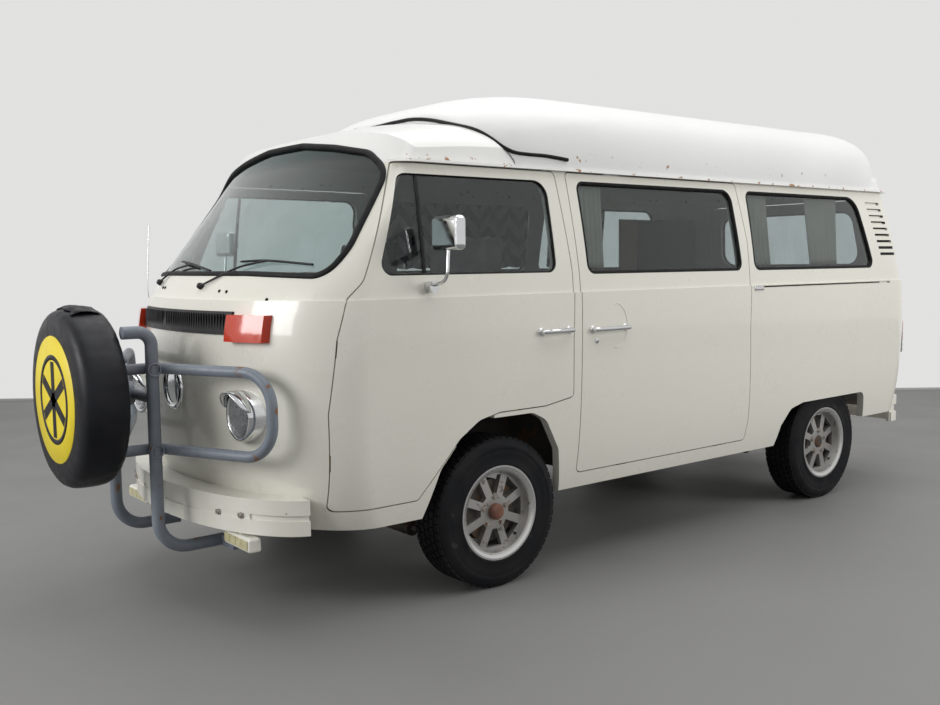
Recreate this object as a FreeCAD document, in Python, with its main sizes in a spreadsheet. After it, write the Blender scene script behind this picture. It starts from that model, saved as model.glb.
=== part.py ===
import FreeCAD, Part
import Sketcher
import functools
import math
import os
import re

# Camper van with a forward cab, a lifting roof, a tube guard on the nose and a covered spare wheel.
# Millimetres. X to the vehicle's left, Y to the rear, Z up. All shapes are drawn from the middle of
# the wheelbase on the ground, and every placement then moves them by one shift along Y, which puts
# the origin under the middle of the whole vehicle.

Vector = FreeCAD.Vector

# Driving dimensions.
SIZES = {
    # stance
    "wheelbase": 2400.0,
    "front_wheel_out": 737.0,
    "rear_wheel_out": 727.0,
    "tyre_radius": 315.0,
    "tyre_width": 192.0,
    "tyre_tread_width": 140.0,
    "bead_radius": 178.0,
    "bead_width": 156.0,
    "bulge_radius": 240.0,
    "rim_lip_radius": 198.0,
    "rim_lip_width": 12.0,
    "rim_lip_gap": 2.0,
    "rim_wall": 8.0,
    "rim_face_offset": 44.0,
    "rim_face_thickness": 22.0,
    "rim_hub_radius": 62.0,
    "rim_window_inner": 74.0,
    "rim_window_outer": 150.0,
    "rim_window_root": 12.0,
    "rim_window_tip": 42.0,
    "rim_spokes": 8.0,
    # body
    "wall": 40.0,
    "roof_wall": 22.0,
    "shut_gap": 5.0,
    "seat_gap": 0.3,
    "overrun": 200.0,
    "centre_margin": 50.0,
    "glass_depth": 12.0,
    "glass_thickness": 5.0,
    "rear_corner": 190.0,
    "nose_power": 2.0,
    "roof_edge_height": 1733.0,
    "roof_edge_width": 756.0,
    "roof_top": 1962.0,
    "roof_power": 2.8,
    "roof_reach_front": 2250.0,
    "roof_bend_front": 1150.0,
    "roof_run_front": 800.0,
    "roof_drop_front": 197.0,
    "roof_power_front": 1.87,
    "roof_reach_rear": 2150.0,
    "roof_bend_rear": 1200.0,
    "roof_run_rear": 950.0,
    "roof_drop_rear": 182.0,
    "roof_power_rear": 3.2,
    "gutter_out": 26.0,
    "gutter_thickness": 11.0,
    "gutter_start": 1640.0,
    "nose_split": 1250.0,
    "tail_split": 1930.0,
    "tail_hem": 421.0,
    # front door
    "door_front": 1990.0,
    "door_rear": 789.0,
    "door_bottom": 430.0,
    "door_top": 1733.0,
    "door_corner": 30.0,
    "door_window_front": 1785.0,
    "door_window_rear": 882.0,
    "door_window_bottom": 1300.0,
    "door_window_top": 1688.0,
    # sliding door and side windows
    "slider_front": 765.0,
    "slider_rear": 467.0,
    "slider_bottom": 418.0,
    "slider_window_front": 700.0,
    "slider_window_rear": 398.0,
    "window_bottom": 1294.0,
    "window_top": 1688.0,
    "quarter_window_front": 507.0,
    "quarter_window_rear": 1648.0,
    "window_corner": 40.0,
    # arches and wheel pockets
    "arch_front_reach": 410.0,
    "arch_front_back": 360.0,
    "arch_front_top": 719.0,
    "arch_rear_reach": 490.0,
    "arch_rear_back": 415.0,
    "arch_rear_top": 574.0,
    "arch_foot": 280.0,
    "pocket_radius": 345.0,
    "pocket_out": 832.0,
    # windscreen, from the front
    "screen_half_width": 770.0,
    "screen_bottom": 1298.0,
    "screen_top": 1840.0,
    "screen_corner": 90.0,
    # tailgate and engine lid, from the rear
    "tailgate_half_width": 620.0,
    "tailgate_bottom": 1000.0,
    "tailgate_top": 1706.0,
    "tailgate_corner": 90.0,
    "tail_window_half_width": 530.0,
    "tail_window_bottom": 1300.0,
    "tail_window_top": 1640.0,
    "lid_half_width": 480.0,
    "lid_bottom": 545.0,
    "lid_top": 930.0,
    "lid_corner": 60.0,
    # pop-top
    "poptop_front": 1190.0,
    "poptop_rear": 1880.0,
    "poptop_foot": 1744.3,
    "poptop_rim": 14.0,
    "poptop_half_width": 774.0,
    "poptop_tip_width": 560.0,
    "poptop_tip_height": 1975.0,
    "poptop_height": 2112.0,
    "poptop_corner": 260.0,
    "poptop_nose": 620.0,
    "poptop_tail": 330.0,
    "poptop_tail_drop": 190.0,
    "poptop_power": 2.2,
    "poptop_crown_power": 3.4,
    "poptop_wall": 18.0,
    "hatch_half_width": 560.0,
    "hatch_front": 620.0,
    "hatch_rear": 1450.0,
    "hatch_corner": 80.0,
    # floor and wheel boxes
    "floor_height": 470.0,
    "floor_thickness": 30.0,
    "floor_front": 2020.0,
    "floor_rear": 1960.0,
    "floor_half_width": 760.0,
    "wheel_box_inner": 420.0,
    "wheel_box_front": 1640.0,
    "wheel_box_back": 780.0,
    "wheel_box_height": 745.0,
    "wheel_box_wall": 20.0,
    "engine_bay_front": 1120.0,
    "engine_deck_height": 960.0,
    "rail_width": 60.0,
    "rail_depth": 90.0,
    "rail_out": 330.0,
    "jack_pad_front": 740.0,
    "jack_pad_rear": 460.0,
    "jack_pad_length": 80.0,
    "jack_pad_depth": 8.0,
    # nose fittings
    "lamp_out": 500.0,
    "lamp_height": 785.0,
    "lamp_radius": 96.0,
    "lamp_depth": 110.0,
    "lamp_proud": 26.0,
    "grille_half_width": 430.0,
    "grille_bottom": 1085.0,
    "grille_top": 1172.0,
    "grille_proud": 8.0,
    "grille_depth": 16.0,
    "turn_outer": 615.0,
    "turn_bottom": 1062.0,
    "turn_top": 1162.0,
    "turn_proud": 34.0,
    # bumpers
    "bumper_low": 353.0,
    "bumper_high": 486.0,
    "bumper_thickness": 30.0,
    "bumper_half_width": 754.0,
    "bumper_front_reach": 2310.0,
    "bumper_centre": 1990.0,
    "bumper_wrap": 2040.0,
    "bumper_shelf": 20.0,
    "bumper_rib": 56.0,
    "bumper_groove": 9.0,
    "rear_bumper_low": 322.0,
    "rear_bumper_high": 482.0,
    "rear_bumper_half_width": 712.0,
    "rear_bumper_reach": 2215.0,
    "rear_bumper_wrap": 2120.0,
    "rear_bumper_corner": 70.0,
    "bracket_width": 60.0,
    # tube guard and spare wheel
    "guard_tube": 48.0,
    "guard_loop_tube": 42.0,
    "guard_post_out": 230.0,
    "guard_front": 2413.0,
    "guard_top": 1100.0,
    "guard_foot": 256.0,
    "guard_foot_end": 2165.0,
    "guard_strap": 20.0,
    "guard_stub_out": 178.0,
    "guard_pass": 2388.0,
    "guard_loop_out": 700.0,
    "guard_loop_front": 2159.0,
    "guard_upper": 957.0,
    "guard_lower": 646.0,
    "guard_bend": 90.0,
    "guard_stub_bend": 60.0,
    "guard_loop_bend": 125.0,
    "spare_front": 2712.0,
    "spare_back": 2524.0,
    "spare_height": 846.0,
    "cover_radius": 346.0,
    "cover_round": 45.0,
    "cover_wall": 14.0,
    "cover_mouth": 262.0,
    "spare_disc_radius": 190.0,
    "spare_disc_depth": 40.0,
    # front axle
    "kingpin_out": 660.0,
    "kingpin_radius": 24.0,
    "kingpin_height": 190.0,
    "axle_tube_radius": 34.0,
    "axle_tube_back": 190.0,
    "axle_tube_low": 212.0,
    "axle_tube_high": 312.0,
    "axle_tube_half": 470.0,
    "arm_radius": 20.0,
    "hub_radius": 50.0,
    "drum_radius": 130.0,
    "drum_depth": 46.0,
    # rear axle
    "rear_tube_forward": 360.0,
    "rear_tube_height": 305.0,
    "rear_tube_radius": 42.0,
    "rear_tube_half": 560.0,
    "trailing_arm_radius": 30.0,
    # engine and exhaust
    "engine_length": 620.0,
    "engine_half_width": 380.0,
    "engine_low": 300.0,
    "engine_high": 640.0,
    "engine_front": 1340.0,
    "silencer_radius": 52.0,
    "silencer_length": 540.0,
    "silencer_height": 352.0,
    "silencer_gap": 4.0,
    "tailpipe_radius": 17.0,
    "tailpipe_out": 200.0,
    "tailpipe_height": 300.0,
    # cab
    "dash_rear": 1870.0,
    "dash_low": 1010.0,
    "dash_high": 1204.0,
    "dash_half_width": 700.0,
    "wheel_out": 380.0,
    "wheel_rim_radius": 205.0,
    "wheel_rim_tube": 12.0,
    "wheel_hub_radius": 42.0,
    "wheel_hub_depth": 36.0,
    "wheel_spoke_radius": 9.0,
    "wheel_height": 1110.0,
    "wheel_reach": 1640.0,
    "wheel_tilt": 28.0,
    "column_radius": 22.0,
    "cab_seat_out": 380.0,
    "cab_seat_width": 500.0,
    "cab_seat_depth": 470.0,
    "cab_seat_front": 1500.0,
    "cab_seat_thickness": 130.0,
    "cab_back_height": 600.0,
    "cab_back_thickness": 110.0,
    "cushion_round": 28.0,
    # living space
    "bench_front": 730.0,
    "bench_depth": 350.0,
    "bench_width": 1080.0,
    "bench_thickness": 120.0,
    "mattress_front": 1130.0,
    "mattress_depth": 780.0,
    "mattress_width": 1240.0,
    "mattress_thickness": 90.0,
    "cabinet_out": 770.0,
    "cabinet_depth": 370.0,
    "cabinet_front": 640.0,
    "cabinet_length": 940.0,
    "cabinet_height": 700.0,
    # mirrors
    "mirror_foot_along": 1559.0,
    "mirror_foot_height": 1255.0,
    "mirror_foot_radius": 22.0,
    "mirror_arm_radius": 6.5,
    "mirror_out": 958.0,
    "mirror_height": 1456.0,
    "mirror_width": 172.0,
    "mirror_tall": 128.0,
    "mirror_depth": 46.0,
    "mirror_round": 20.0,
    # lamps at the tail and under the front bumper
    "tail_lamp_inner": 664.0,
    "tail_lamp_low": 770.0,
    "tail_lamp_high": 960.0,
    "tail_lamp_proud": 24.0,
    "fog_out": 510.0,
    "fog_front": 2225.0,
    "fog_width": 210.0,
    "fog_tall": 54.0,
    "fog_depth": 52.0,
    "fog_drop": 8.0,
    "fog_stem": 12.0,
    "fog_round": 10.0,
    # hinges and latches in the shut lines
    "lug_width": 60.0,
    "door_hinge_low": 620.0,
    "door_hinge_high": 1040.0,
    "door_pivot_out": 836.0,
    "door_pivot_front": 1992.0,
    "door_edge_sweep": 150.0,
    "tailgate_hinge_out": 330.0,
    "lid_hinge_out": 300.0,
    # air slots behind the rear side windows
    "slot_count": 9.0,
    "slot_front_low": 1736.0,
    "slot_front_high": 1647.0,
    "slot_rear_low": 1906.0,
    "slot_rear_high": 1801.0,
    "slot_bottom": 1362.0,
    "slot_top": 1690.0,
    "slot_height": 16.0,
    "slot_depth": 14.0,
    "slot_corner": 6.0,
    # groove for the sliding door's upper roller, along the crease behind it
    "groove_start": 480.0,
    "groove_end": 1800.0,
    "groove_top": 1211.0,
    "groove_height": 12.0,
    "groove_depth": 12.0,
}

# Body levels from the hem to the crown: height, half width, reach ahead of mid-wheelbase, reach
# behind it and depth of the nose's curve. The first five make the lower body and end at the belt,
# the last five start a little narrower and lean in to the roof.
LEVELS = {
    "hem": (352.0, 808.0, 2150.0, 2015.0, 381.0),
    "rocker": (520.0, 840.0, 2215.0, 2055.0, 390.0),
    "flank": (800.0, 858.0, 2240.0, 2085.0, 390.0),
    "waist": (1050.0, 860.0, 2236.0, 2090.0, 390.0),
    "belt": (1214.0, 856.0, 2205.0, 2082.0, 385.0),
    "ledge": (1180.0, 850.0, 2205.0, 2075.0, 375.0),
    "scuttle": (1295.0, 838.0, 2135.0, 2062.0, 320.0),
    "window": (1500.0, 806.0, 1972.0, 2030.0, 270.0),
    "gutter": (1733.0, 758.0, 1788.0, 1985.0, 225.0),
    "crown": (2000.0, 700.0, 1578.0, 1920.0, 180.0),
}
LEVEL_PARTS = ("height", "width", "front", "rear", "depth")
LOWER_LEVELS = ("hem", "rocker", "flank", "waist", "belt")
UPPER_LEVELS = ("ledge", "scuttle", "window", "gutter", "crown")

document = FreeCAD.newDocument("CamperVan")
sheet = document.addObject("Spreadsheet::Sheet", "Sizes")


def fill_sheet():
    """Write every driving dimension into the sheet, one row each."""
    rows = dict(SIZES)
    for name, values in LEVELS.items():
        for part, value in zip(LEVEL_PARTS, values):
            rows[name + "_" + part] = value
    for row, (name, value) in enumerate(rows.items(), start=1):
        sheet.set("A%d" % row, name)
        sheet.set("B%d" % row, str(value))
        sheet.setAlias("B%d" % row, name)
    document.recompute()
    return rows


class Sizes:
    """The sheet's values, read back by name."""


S = Sizes()
for size_name in fill_sheet():
    setattr(S, size_name, float(sheet.get(size_name)))

FRONT_AXLE = -S.wheelbase / 2
REAR_AXLE = S.wheelbase / 2
AXLE_HEIGHT = S.tyre_radius
SHIFT = Vector(0, (S.spare_front - S.rear_bumper_reach) / 2, 0)
TOUCH = 0.001
WIDE = S.waist_width + S.overrun
FORE = -S.spare_front
AFT = S.waist_rear + S.overrun
SOLE = S.hem_height - S.overrun
ROOF_LINE = S.door_top
SKY = S.crown_height + S.overrun
LEFT_HALF = Part.makeBox(WIDE, AFT - FORE, SKY, Vector(0, FORE, 0))
NODES = []


def level(name, part):
    return getattr(S, name + "_" + part)


def box(low, high):
    return Part.makeBox(high[0] - low[0], high[1] - low[1], high[2] - low[2], Vector(*low))


def both_sides(shape):
    """The shape and its mirror image over the centre plane."""
    return [shape, mirrored(shape)]


def mirrored(shape):
    return shape.mirror(Vector(0, 0, 0), Vector(1, 0, 0))


def add_node(label, shape):
    """One sub-part with a shape of its own."""
    node = document.addObject("Part::Feature", label)
    node.Label = label
    node.Shape = shape
    node.Placement = FreeCAD.Placement(SHIFT, FreeCAD.Rotation())
    NODES.append(node)
    return node


SHIFT_RULE = "(spare_front - rear_bumper_reach) / 2"
AXLE_RULE = "wheelbase / 2"


def rule(text):
    """Expression on the sheet, from a text with plain size names."""
    return re.sub("[a-z][a-z_]+", lambda found: "Sizes." + found.group(), text)


def bind(item, rules):
    """Tie properties of an object to the sheet."""
    for name, text in rules.items():
        item.setExpression(name, rule(text))
    return item


def seated(item, across, along, up):
    """Tie an object's place to the sheet."""
    places = {"Placement.Base.x": across, "Placement.Base.y": along, "Placement.Base.z": up}
    return bind(item, places)


ALONG_X = FreeCAD.Rotation(Vector(0, 1, 0), 90)
ALONG_Y = FreeCAD.Rotation(Vector(1, 0, 0), -90)
UPRIGHT = FreeCAD.Rotation()


def bound_box(name, low, high):
    """Box between two corners, each three rules."""
    item = document.addObject("Part::Box", name)
    for side, start, end in zip(("Length", "Width", "Height"), low, high):
        bind(item, {side: "(%s) - (%s)" % (end, start)})
    return seated(item, *low)


def bound_rod(name, start, length, radius, turn=UPRIGHT):
    """Cylinder from a start, three rules, with a length and a radius that are rules too."""
    item = document.addObject("Part::Cylinder", name)
    item.Placement = FreeCAD.Placement(Vector(), turn)
    bind(item, {"Radius": radius, "Height": length})
    return seated(item, *start)


def bound_fuse(name, items):
    item = document.addObject("Part::MultiFuse", name)
    item.Shapes = items
    item.Refine = True
    return item


def bound_cut(name, base, tools):
    item = document.addObject("Part::Cut", name)
    item.Base = base
    item.Tool = tools[0] if len(tools) == 1 else bound_fuse(name + "Tools", tools)
    return item


def rounded(name, base, radius, chosen):
    """The object with some edges rounded. chosen tells which, from an edge's limits."""
    document.recompute()
    item = document.addObject("Part::Fillet", name)
    item.Base = base
    edges = []
    for index, edge in enumerate(base.Shape.Edges, start=1):
        if chosen(edge.BoundBox):
            edges.append((index, radius, radius))
    item.Edges = edges
    return item


def every_edge(limits):
    return True


def bound_node(label, items):
    """One sub-part made of bound objects."""
    node = document.addObject("Part::Compound", label)
    node.Label = label
    node.Links = items
    bind(node, {"Placement.Base.y": SHIFT_RULE})
    NODES.append(node)
    return node


def origin_plane(body, role):
    return next(item for item in body.Origin.OriginFeatures if item.Role == role)


def corner_sketch(body, name, role, corners):
    """Closed outline on one of the body's planes, through corners that are pairs of rules."""
    sketch = body.newObject("Sketcher::SketchObject", name)
    sketch.AttachmentSupport = (origin_plane(body, role), "")
    sketch.MapMode = "FlatFace"
    count = len(corners)
    spots = []
    for index in range(count):
        turn = 2 * math.pi * index / count
        spots.append(Vector(math.cos(turn), 2 + math.sin(turn), 0) * S.tyre_radius)
    for index in range(count):
        sketch.addGeometry(Part.LineSegment(spots[index], spots[(index + 1) % count]), False)
    for index in range(count):
        sketch.addConstraint(Sketcher.Constraint("Coincident", index, 2, (index + 1) % count, 1))
    for index, pair in enumerate(corners):
        for kind, text, axis in zip(("DistanceX", "DistanceY"), pair, (-2, -1)):
            if text == "0":
                sketch.addConstraint(Sketcher.Constraint("PointOnObject", index, 1, axis))
                continue
            held = Sketcher.Constraint(kind, -1, 1, index, 1, S.tyre_radius)
            number = sketch.addConstraint(held)
            sketch.setExpression("Constraints[%d]" % number, rule(text))
    return sketch


def turned_body(label, corners):
    """Body whose outline of (along the axle, radius) corners is turned round the axle."""
    body = document.addObject("PartDesign::Body", label)
    body.Label = label
    sketch = corner_sketch(body, label + "_outline", "XZ_Plane", corners)
    turn = body.newObject("PartDesign::Revolution", label + "_turn")
    turn.Profile = sketch
    turn.ReferenceAxis = (sketch, ["H_Axis"])
    turn.Angle = 360
    return body


def largest(shape):
    return max(shape.Solids, key=lambda solid: solid.Volume)


def compound(solids):
    flat = []
    for solid in solids:
        flat.extend(solid.Solids)
    if len(flat) == 1:
        return flat[0]
    return Part.makeCompound(flat)


def fuse(shapes):
    whole = shapes[0]
    if len(shapes) > 1:
        whole = whole.fuse(shapes[1:]).removeSplitter()
    return whole


# Outlines.


def rounded_outline(points, radii):
    """Closed planar wire through the points, each corner rounded by its radius."""
    count = len(points)
    starts = []
    ends = []
    middles = []
    for index in range(count):
        corner = points[index]
        before = points[index - 1] - corner
        after = points[(index + 1) % count] - corner
        half_turn = before.getAngle(after) / 2
        reach = min(radii[index] / math.tan(half_turn), before.Length * 0.48, after.Length * 0.48)
        radius = reach * math.tan(half_turn)
        before.normalize()
        after.normalize()
        inward = before + after
        starts.append(corner + before * reach)
        ends.append(corner + after * reach)
        if inward.Length > 1e-6:
            inward.normalize()
        middles.append(corner + inward * (radius / math.sin(half_turn) - radius))
    edges = []
    for index in range(count):
        edges.append(Part.Arc(starts[index], middles[index], ends[index]).toShape())
        following = starts[(index + 1) % count]
        if following.distanceToPoint(ends[index]) > 1e-4:
            edges.append(Part.LineSegment(ends[index], following).toShape())
    return Part.Wire(edges)


def side_outline(shares, low, high, corner):
    """Outline in the side view. Shares give each point's place between low and high, and its corner."""
    points = []
    radii = []
    for along_share, up_share, corner_share in shares:
        along = low[0] + (high[0] - low[0]) * along_share
        up = low[1] + (high[1] - low[1]) * up_share
        points.append(Vector(0, along, up))
        radii.append(corner * corner_share)
    return rounded_outline(points, radii)


def end_outline(shares, half_width, low, high, corner):
    """Symmetric outline in the front or rear view, from the shares of its left half."""
    points = []
    radii = []
    for across_share, up_share, corner_share in shares:
        points.append(Vector(half_width * across_share, 0, low + (high - low) * up_share))
        radii.append(corner * corner_share)
    for across_share, up_share, corner_share in reversed(shares):
        points.append(Vector(-half_width * across_share, 0, low + (high - low) * up_share))
        radii.append(corner * corner_share)
    return rounded_outline(points, radii)


def grown(wire, amount):
    """The same outline, moved outwards by the amount."""
    return wire.makeOffset2D(amount)


def side_prism(wire, inner, outer):
    """Solid of a side-view outline between two distances from the centre plane."""
    face = Part.Face(wire)
    face.translate(Vector(inner, 0, 0))
    return face.extrude(Vector(outer - inner, 0, 0))


def end_prism(wire, front, rear):
    face = Part.Face(wire)
    face.translate(Vector(0, front, 0))
    return face.extrude(Vector(0, rear - front, 0))


# Body form. Each form is drawn for the left half and runs a margin past the centre plane, a wider one
# the further in it lies. The finished half is cut off at the centre plane and mirrored.

CURVE_STEPS = 8


def quarter_curve(width, depth, power, place):
    """Curve through a quarter of a superellipse. place turns (across, out) into a point."""
    points = []
    for index in range(CURVE_STEPS + 1):
        angle = math.pi / 2 * index / CURVE_STEPS
        across = width * math.sin(angle) ** (2 / power)
        out = depth * math.cos(angle) ** (2 / power)
        points.append(place(across, out))
    curve = Part.BSplineCurve()
    curve.interpolate(points)
    return curve.toShape(), points[0], points[-1]


def plan_section(name, inset):
    """Left half of the body's plan outline at one level, moved inwards by the inset."""
    height = level(name, "height")
    width = level(name, "width") - inset
    centre = -level(name, "front") + level(name, "depth")
    depth = level(name, "depth") - inset
    tail = level(name, "rear") - inset
    corner = S.rear_corner - inset
    bend = corner * (1 - math.sqrt(0.5))

    def on_nose(across, out):
        return Vector(across, centre - out, height)

    nose, front, shoulder = quarter_curve(width, depth, S.nose_power, on_nose)
    side_end = Vector(width, tail - corner, height)
    middle = Vector(width - bend, tail - bend, height)
    tail_start = Vector(width - corner, tail, height)
    past = -S.centre_margin - inset
    tail_end = Vector(past, tail, height)
    nose_end = Vector(past, front.y, height)
    edges = [
        nose,
        Part.LineSegment(shoulder, side_end).toShape(),
        Part.Arc(side_end, middle, tail_start).toShape(),
        Part.LineSegment(tail_start, tail_end).toShape(),
        Part.LineSegment(tail_end, nose_end).toShape(),
        Part.LineSegment(nose_end, front).toShape(),
    ]
    return Part.Wire(edges)


@functools.lru_cache(maxsize=None)
def body_loft(levels, inset):
    return Part.makeLoft([plan_section(name, inset) for name in levels], True, False)


def crown_section(place, width, edge, top, power, past, corners):
    """Left half of a crowned cross-section that runs past the centre plane, closed under the crown
    through (across, height) corners."""

    def on_crown(across, out):
        return Vector(across, place, edge + out)

    crown, peak, last = quarter_curve(width, top - edge, power, on_crown)
    edges = [crown]
    foot = corners[-1][1]
    for across, height in corners + ((-past, foot), (-past, top)):
        corner = Vector(across, place, height)
        edges.append(Part.LineSegment(last, corner).toShape())
        last = corner
    edges.append(Part.LineSegment(last, peak).toShape())
    return Part.Wire(edges)


def eased_places(start, end, count):
    """Places from start to end that stand closer at both ends."""
    return [start + (end - start) * (1 - math.cos(math.pi * k / count)) / 2 for k in range(count + 1)]


def roof_top(place):
    """Height of the roof over the centreline."""
    drop = 0
    if place < -S.roof_bend_front:
        drop = S.roof_drop_front * ((-S.roof_bend_front - place) / S.roof_run_front) ** S.roof_power_front
    elif place > S.roof_bend_rear:
        drop = S.roof_drop_rear * ((place - S.roof_bend_rear) / S.roof_run_rear) ** S.roof_power_rear
    return S.roof_top - drop


ROOF_STATIONS = 18


def roof_form(drop):
    """Solid under the roof's curve, lowered by the drop."""
    sections = []
    edge = S.roof_edge_height - drop
    foot = S.ledge_height - S.wall
    wide = S.waist_width + S.overrun
    corners = ((wide, edge - S.wall), (wide, foot))
    past = S.centre_margin * 2 + drop
    for place in eased_places(-S.roof_reach_front, S.roof_reach_rear, ROOF_STATIONS):
        top = roof_top(place) - drop
        sections.append(crown_section(place, S.roof_edge_width, edge, top, S.roof_power, past, corners))
    return Part.makeLoft(sections, True, False)


def body_form(inset, drop):
    """Left half of the body, outside or inside its wall."""
    lower = body_loft(LOWER_LEVELS, inset)
    upper = body_loft(UPPER_LEVELS, inset).common(roof_form(drop))
    return lower.fuse(upper)


OUTER_BODY = body_form(0.0, 0.0)
INNER_BODY = body_form(S.wall, S.roof_wall)
SHELL = OUTER_BODY.cut(INNER_BODY)


def left_half(shape):
    return largest(shape.common(LEFT_HALF))


def whole(half):
    """The left half and its mirror image, sewn together along the centre plane."""
    faces = [face for face in half.Faces if face.BoundBox.XMax > TOUCH]
    faces += [face for face in mirrored(half).Faces if face.BoundBox.XMin < -TOUCH]
    shell = Part.makeShell(faces)
    shell.sewShape()
    return Part.makeSolid(shell)


def zone(front, rear, low, high):
    """The part of the left wall between two places along the vehicle and two heights."""
    return SHELL.common(box((-WIDE, front, low), (WIDE, rear, high)))


# Outlines of the openings. Each line is a share along, a share up and a share of the corner radius.

DOOR_SHARES = (
    (0.290, 1.000, 0.5),
    (0.970, 1.000, 1.0),
    (1.000, 0.668, 1.5),
    (0.989, 0.437, 1.5),
    (0.989, 0.256, 0.8),
    (0.850, 0.236, 1.0),
    (0.642, 0.235, 3.0),
    (0.555, 0.218, 3.0),
    (0.473, 0.168, 3.0),
    (0.393, 0.085, 3.0),
    (0.312, 0.000, 0.8),
    (0.012, 0.000, 1.0),
    (0.000, 0.286, 3.0),
    (0.026, 0.494, 3.0),
    (0.060, 0.604, 3.0),
    (0.117, 0.655, 3.0),
)
DOOR_WINDOW_SHARES = ((0.165, 1.0, 1.0), (1.0, 1.0, 1.8), (1.0, 0.0, 1.1), (0.0, 0.0, 1.1))
SLIDER_SHARES = (
    (0.000, 1.000, 0.8),
    (0.972, 1.000, 0.8),
    (1.000, 0.773, 3.0),
    (0.984, 0.443, 3.0),
    (0.996, 0.086, 2.0),
    (0.986, 0.000, 1.0),
    (0.000, 0.000, 1.0),
    (0.010, 0.663, 3.0),
)
SLIDER_WINDOW_SHARES = ((0.0, 1.0, 0.9), (0.984, 1.0, 1.6), (1.0, 0.0, 1.0), (0.006, 0.0, 1.0))
QUARTER_WINDOW_SHARES = ((0.004, 1.0, 0.9), (0.910, 1.0, 2.8), (1.0, 0.0, 1.0), (0.0, 0.0, 1.0))
ARCH_SHARES = (
    (0.000, 0.000, 0.2),
    (0.125, 0.595, 2.5),
    (0.250, 0.855, 2.5),
    (0.400, 1.000, 2.5),
    (0.740, 1.000, 2.5),
    (0.840, 0.915, 2.5),
    (0.945, 0.600, 2.0),
    (1.000, 0.000, 0.2),
)
REAR_ARCH_SHARES = (
    (0.000, 0.000, 0.2),
    (0.060, 0.620, 1.5),
    (0.140, 0.900, 2.0),
    (0.260, 0.985, 2.0),
    (0.935, 1.000, 1.5),
    (1.000, 0.000, 0.2),
)
SCREEN_SHARES = (
    (0.50, 0.020, 3.0),
    (0.965, 0.000, 1.0),
    (1.000, 0.170, 3.0),
    (0.930, 0.740, 1.5),
    (0.790, 0.875, 1.5),
    (0.520, 0.945, 3.0),
    (0.200, 1.000, 3.0),
)
TAILGATE_SHARES = ((0.94, 0.0, 0.8), (1.0, 0.42, 1.0), (0.93, 1.0, 1.0))
TAIL_WINDOW_SHARES = ((1.0, 0.0, 1.0), (0.93, 1.0, 1.0))
LID_SHARES = ((1.0, 0.0, 1.0), (1.0, 1.0, 1.0))
HATCH_SHARES = ((-1.0, 0.0), (1.0, 0.0), (1.0, 1.0), (-1.0, 1.0))

DOOR_OUTLINE = side_outline(
    DOOR_SHARES, (-S.door_front, S.door_bottom), (-S.door_rear, S.door_top), S.door_corner
)
DOOR_WINDOW = side_outline(
    DOOR_WINDOW_SHARES,
    (-S.door_window_front, S.door_window_bottom),
    (-S.door_window_rear, S.door_window_top),
    S.window_corner,
)
SLIDER_OUTLINE = side_outline(
    SLIDER_SHARES, (-S.slider_front, S.slider_bottom), (S.slider_rear, S.door_top), S.door_corner
)
SLIDER_WINDOW = side_outline(
    SLIDER_WINDOW_SHARES,
    (-S.slider_window_front, S.window_bottom),
    (S.slider_window_rear, S.window_top),
    S.window_corner,
)
QUARTER_WINDOW = side_outline(
    QUARTER_WINDOW_SHARES,
    (S.quarter_window_front, S.window_bottom),
    (S.quarter_window_rear, S.window_top),
    S.window_corner,
)
FRONT_ARCH = side_outline(
    ARCH_SHARES,
    (FRONT_AXLE - S.arch_front_reach, S.arch_foot),
    (FRONT_AXLE + S.arch_front_back, S.arch_front_top),
    S.door_corner,
)
REAR_ARCH = side_outline(
    REAR_ARCH_SHARES,
    (REAR_AXLE - S.arch_rear_reach, S.arch_foot),
    (REAR_AXLE + S.arch_rear_back, S.arch_rear_top),
    S.door_corner,
)
SCREEN_OUTLINE = end_outline(
    SCREEN_SHARES, S.screen_half_width, S.screen_bottom, S.screen_top, S.screen_corner
)
TAILGATE_OUTLINE = end_outline(
    TAILGATE_SHARES, S.tailgate_half_width, S.tailgate_bottom, S.tailgate_top, S.tailgate_corner
)
TAIL_WINDOW = end_outline(
    TAIL_WINDOW_SHARES,
    S.tail_window_half_width,
    S.tail_window_bottom,
    S.tail_window_top,
    S.tailgate_corner,
)
LID_OUTLINE = end_outline(LID_SHARES, S.lid_half_width, S.lid_bottom, S.lid_top, S.lid_corner)

INNER_REACH = S.wheel_box_inner


def side_cutter(wire):
    return side_prism(wire, INNER_REACH, WIDE)


def wheel_pocket(axle, radius):
    return Part.makeCylinder(
        radius, S.pocket_out - INNER_REACH, Vector(INNER_REACH, axle, AXLE_HEIGHT), Vector(1, 0, 0)
    )


DOOR_HOLE = side_cutter(DOOR_OUTLINE)
DOOR_LEAF = side_cutter(grown(DOOR_OUTLINE, -S.shut_gap))
SLIDER_HOLE = side_cutter(SLIDER_OUTLINE)
SLIDER_LEAF = side_cutter(grown(SLIDER_OUTLINE, -S.shut_gap))
FRONT_ARCH_HOLE = side_cutter(FRONT_ARCH)
REAR_ARCH_HOLE = side_cutter(REAR_ARCH)
DOOR_WINDOW_HOLE = side_cutter(DOOR_WINDOW)
SLIDER_WINDOW_HOLE = side_cutter(SLIDER_WINDOW)
QUARTER_WINDOW_HOLE = side_cutter(QUARTER_WINDOW)
SCREEN_HOLE = end_prism(SCREEN_OUTLINE, -S.flank_front - S.overrun, FRONT_AXLE - S.overrun)
TAIL_START = S.tail_split
TAIL_END = S.waist_rear + S.overrun
TAILGATE_HOLE = end_prism(TAILGATE_OUTLINE, TAIL_START, TAIL_END)
TAILGATE_LEAF = end_prism(grown(TAILGATE_OUTLINE, -S.shut_gap), TAIL_START, TAIL_END)
TAIL_WINDOW_HOLE = end_prism(TAIL_WINDOW, TAIL_START, TAIL_END)
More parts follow.
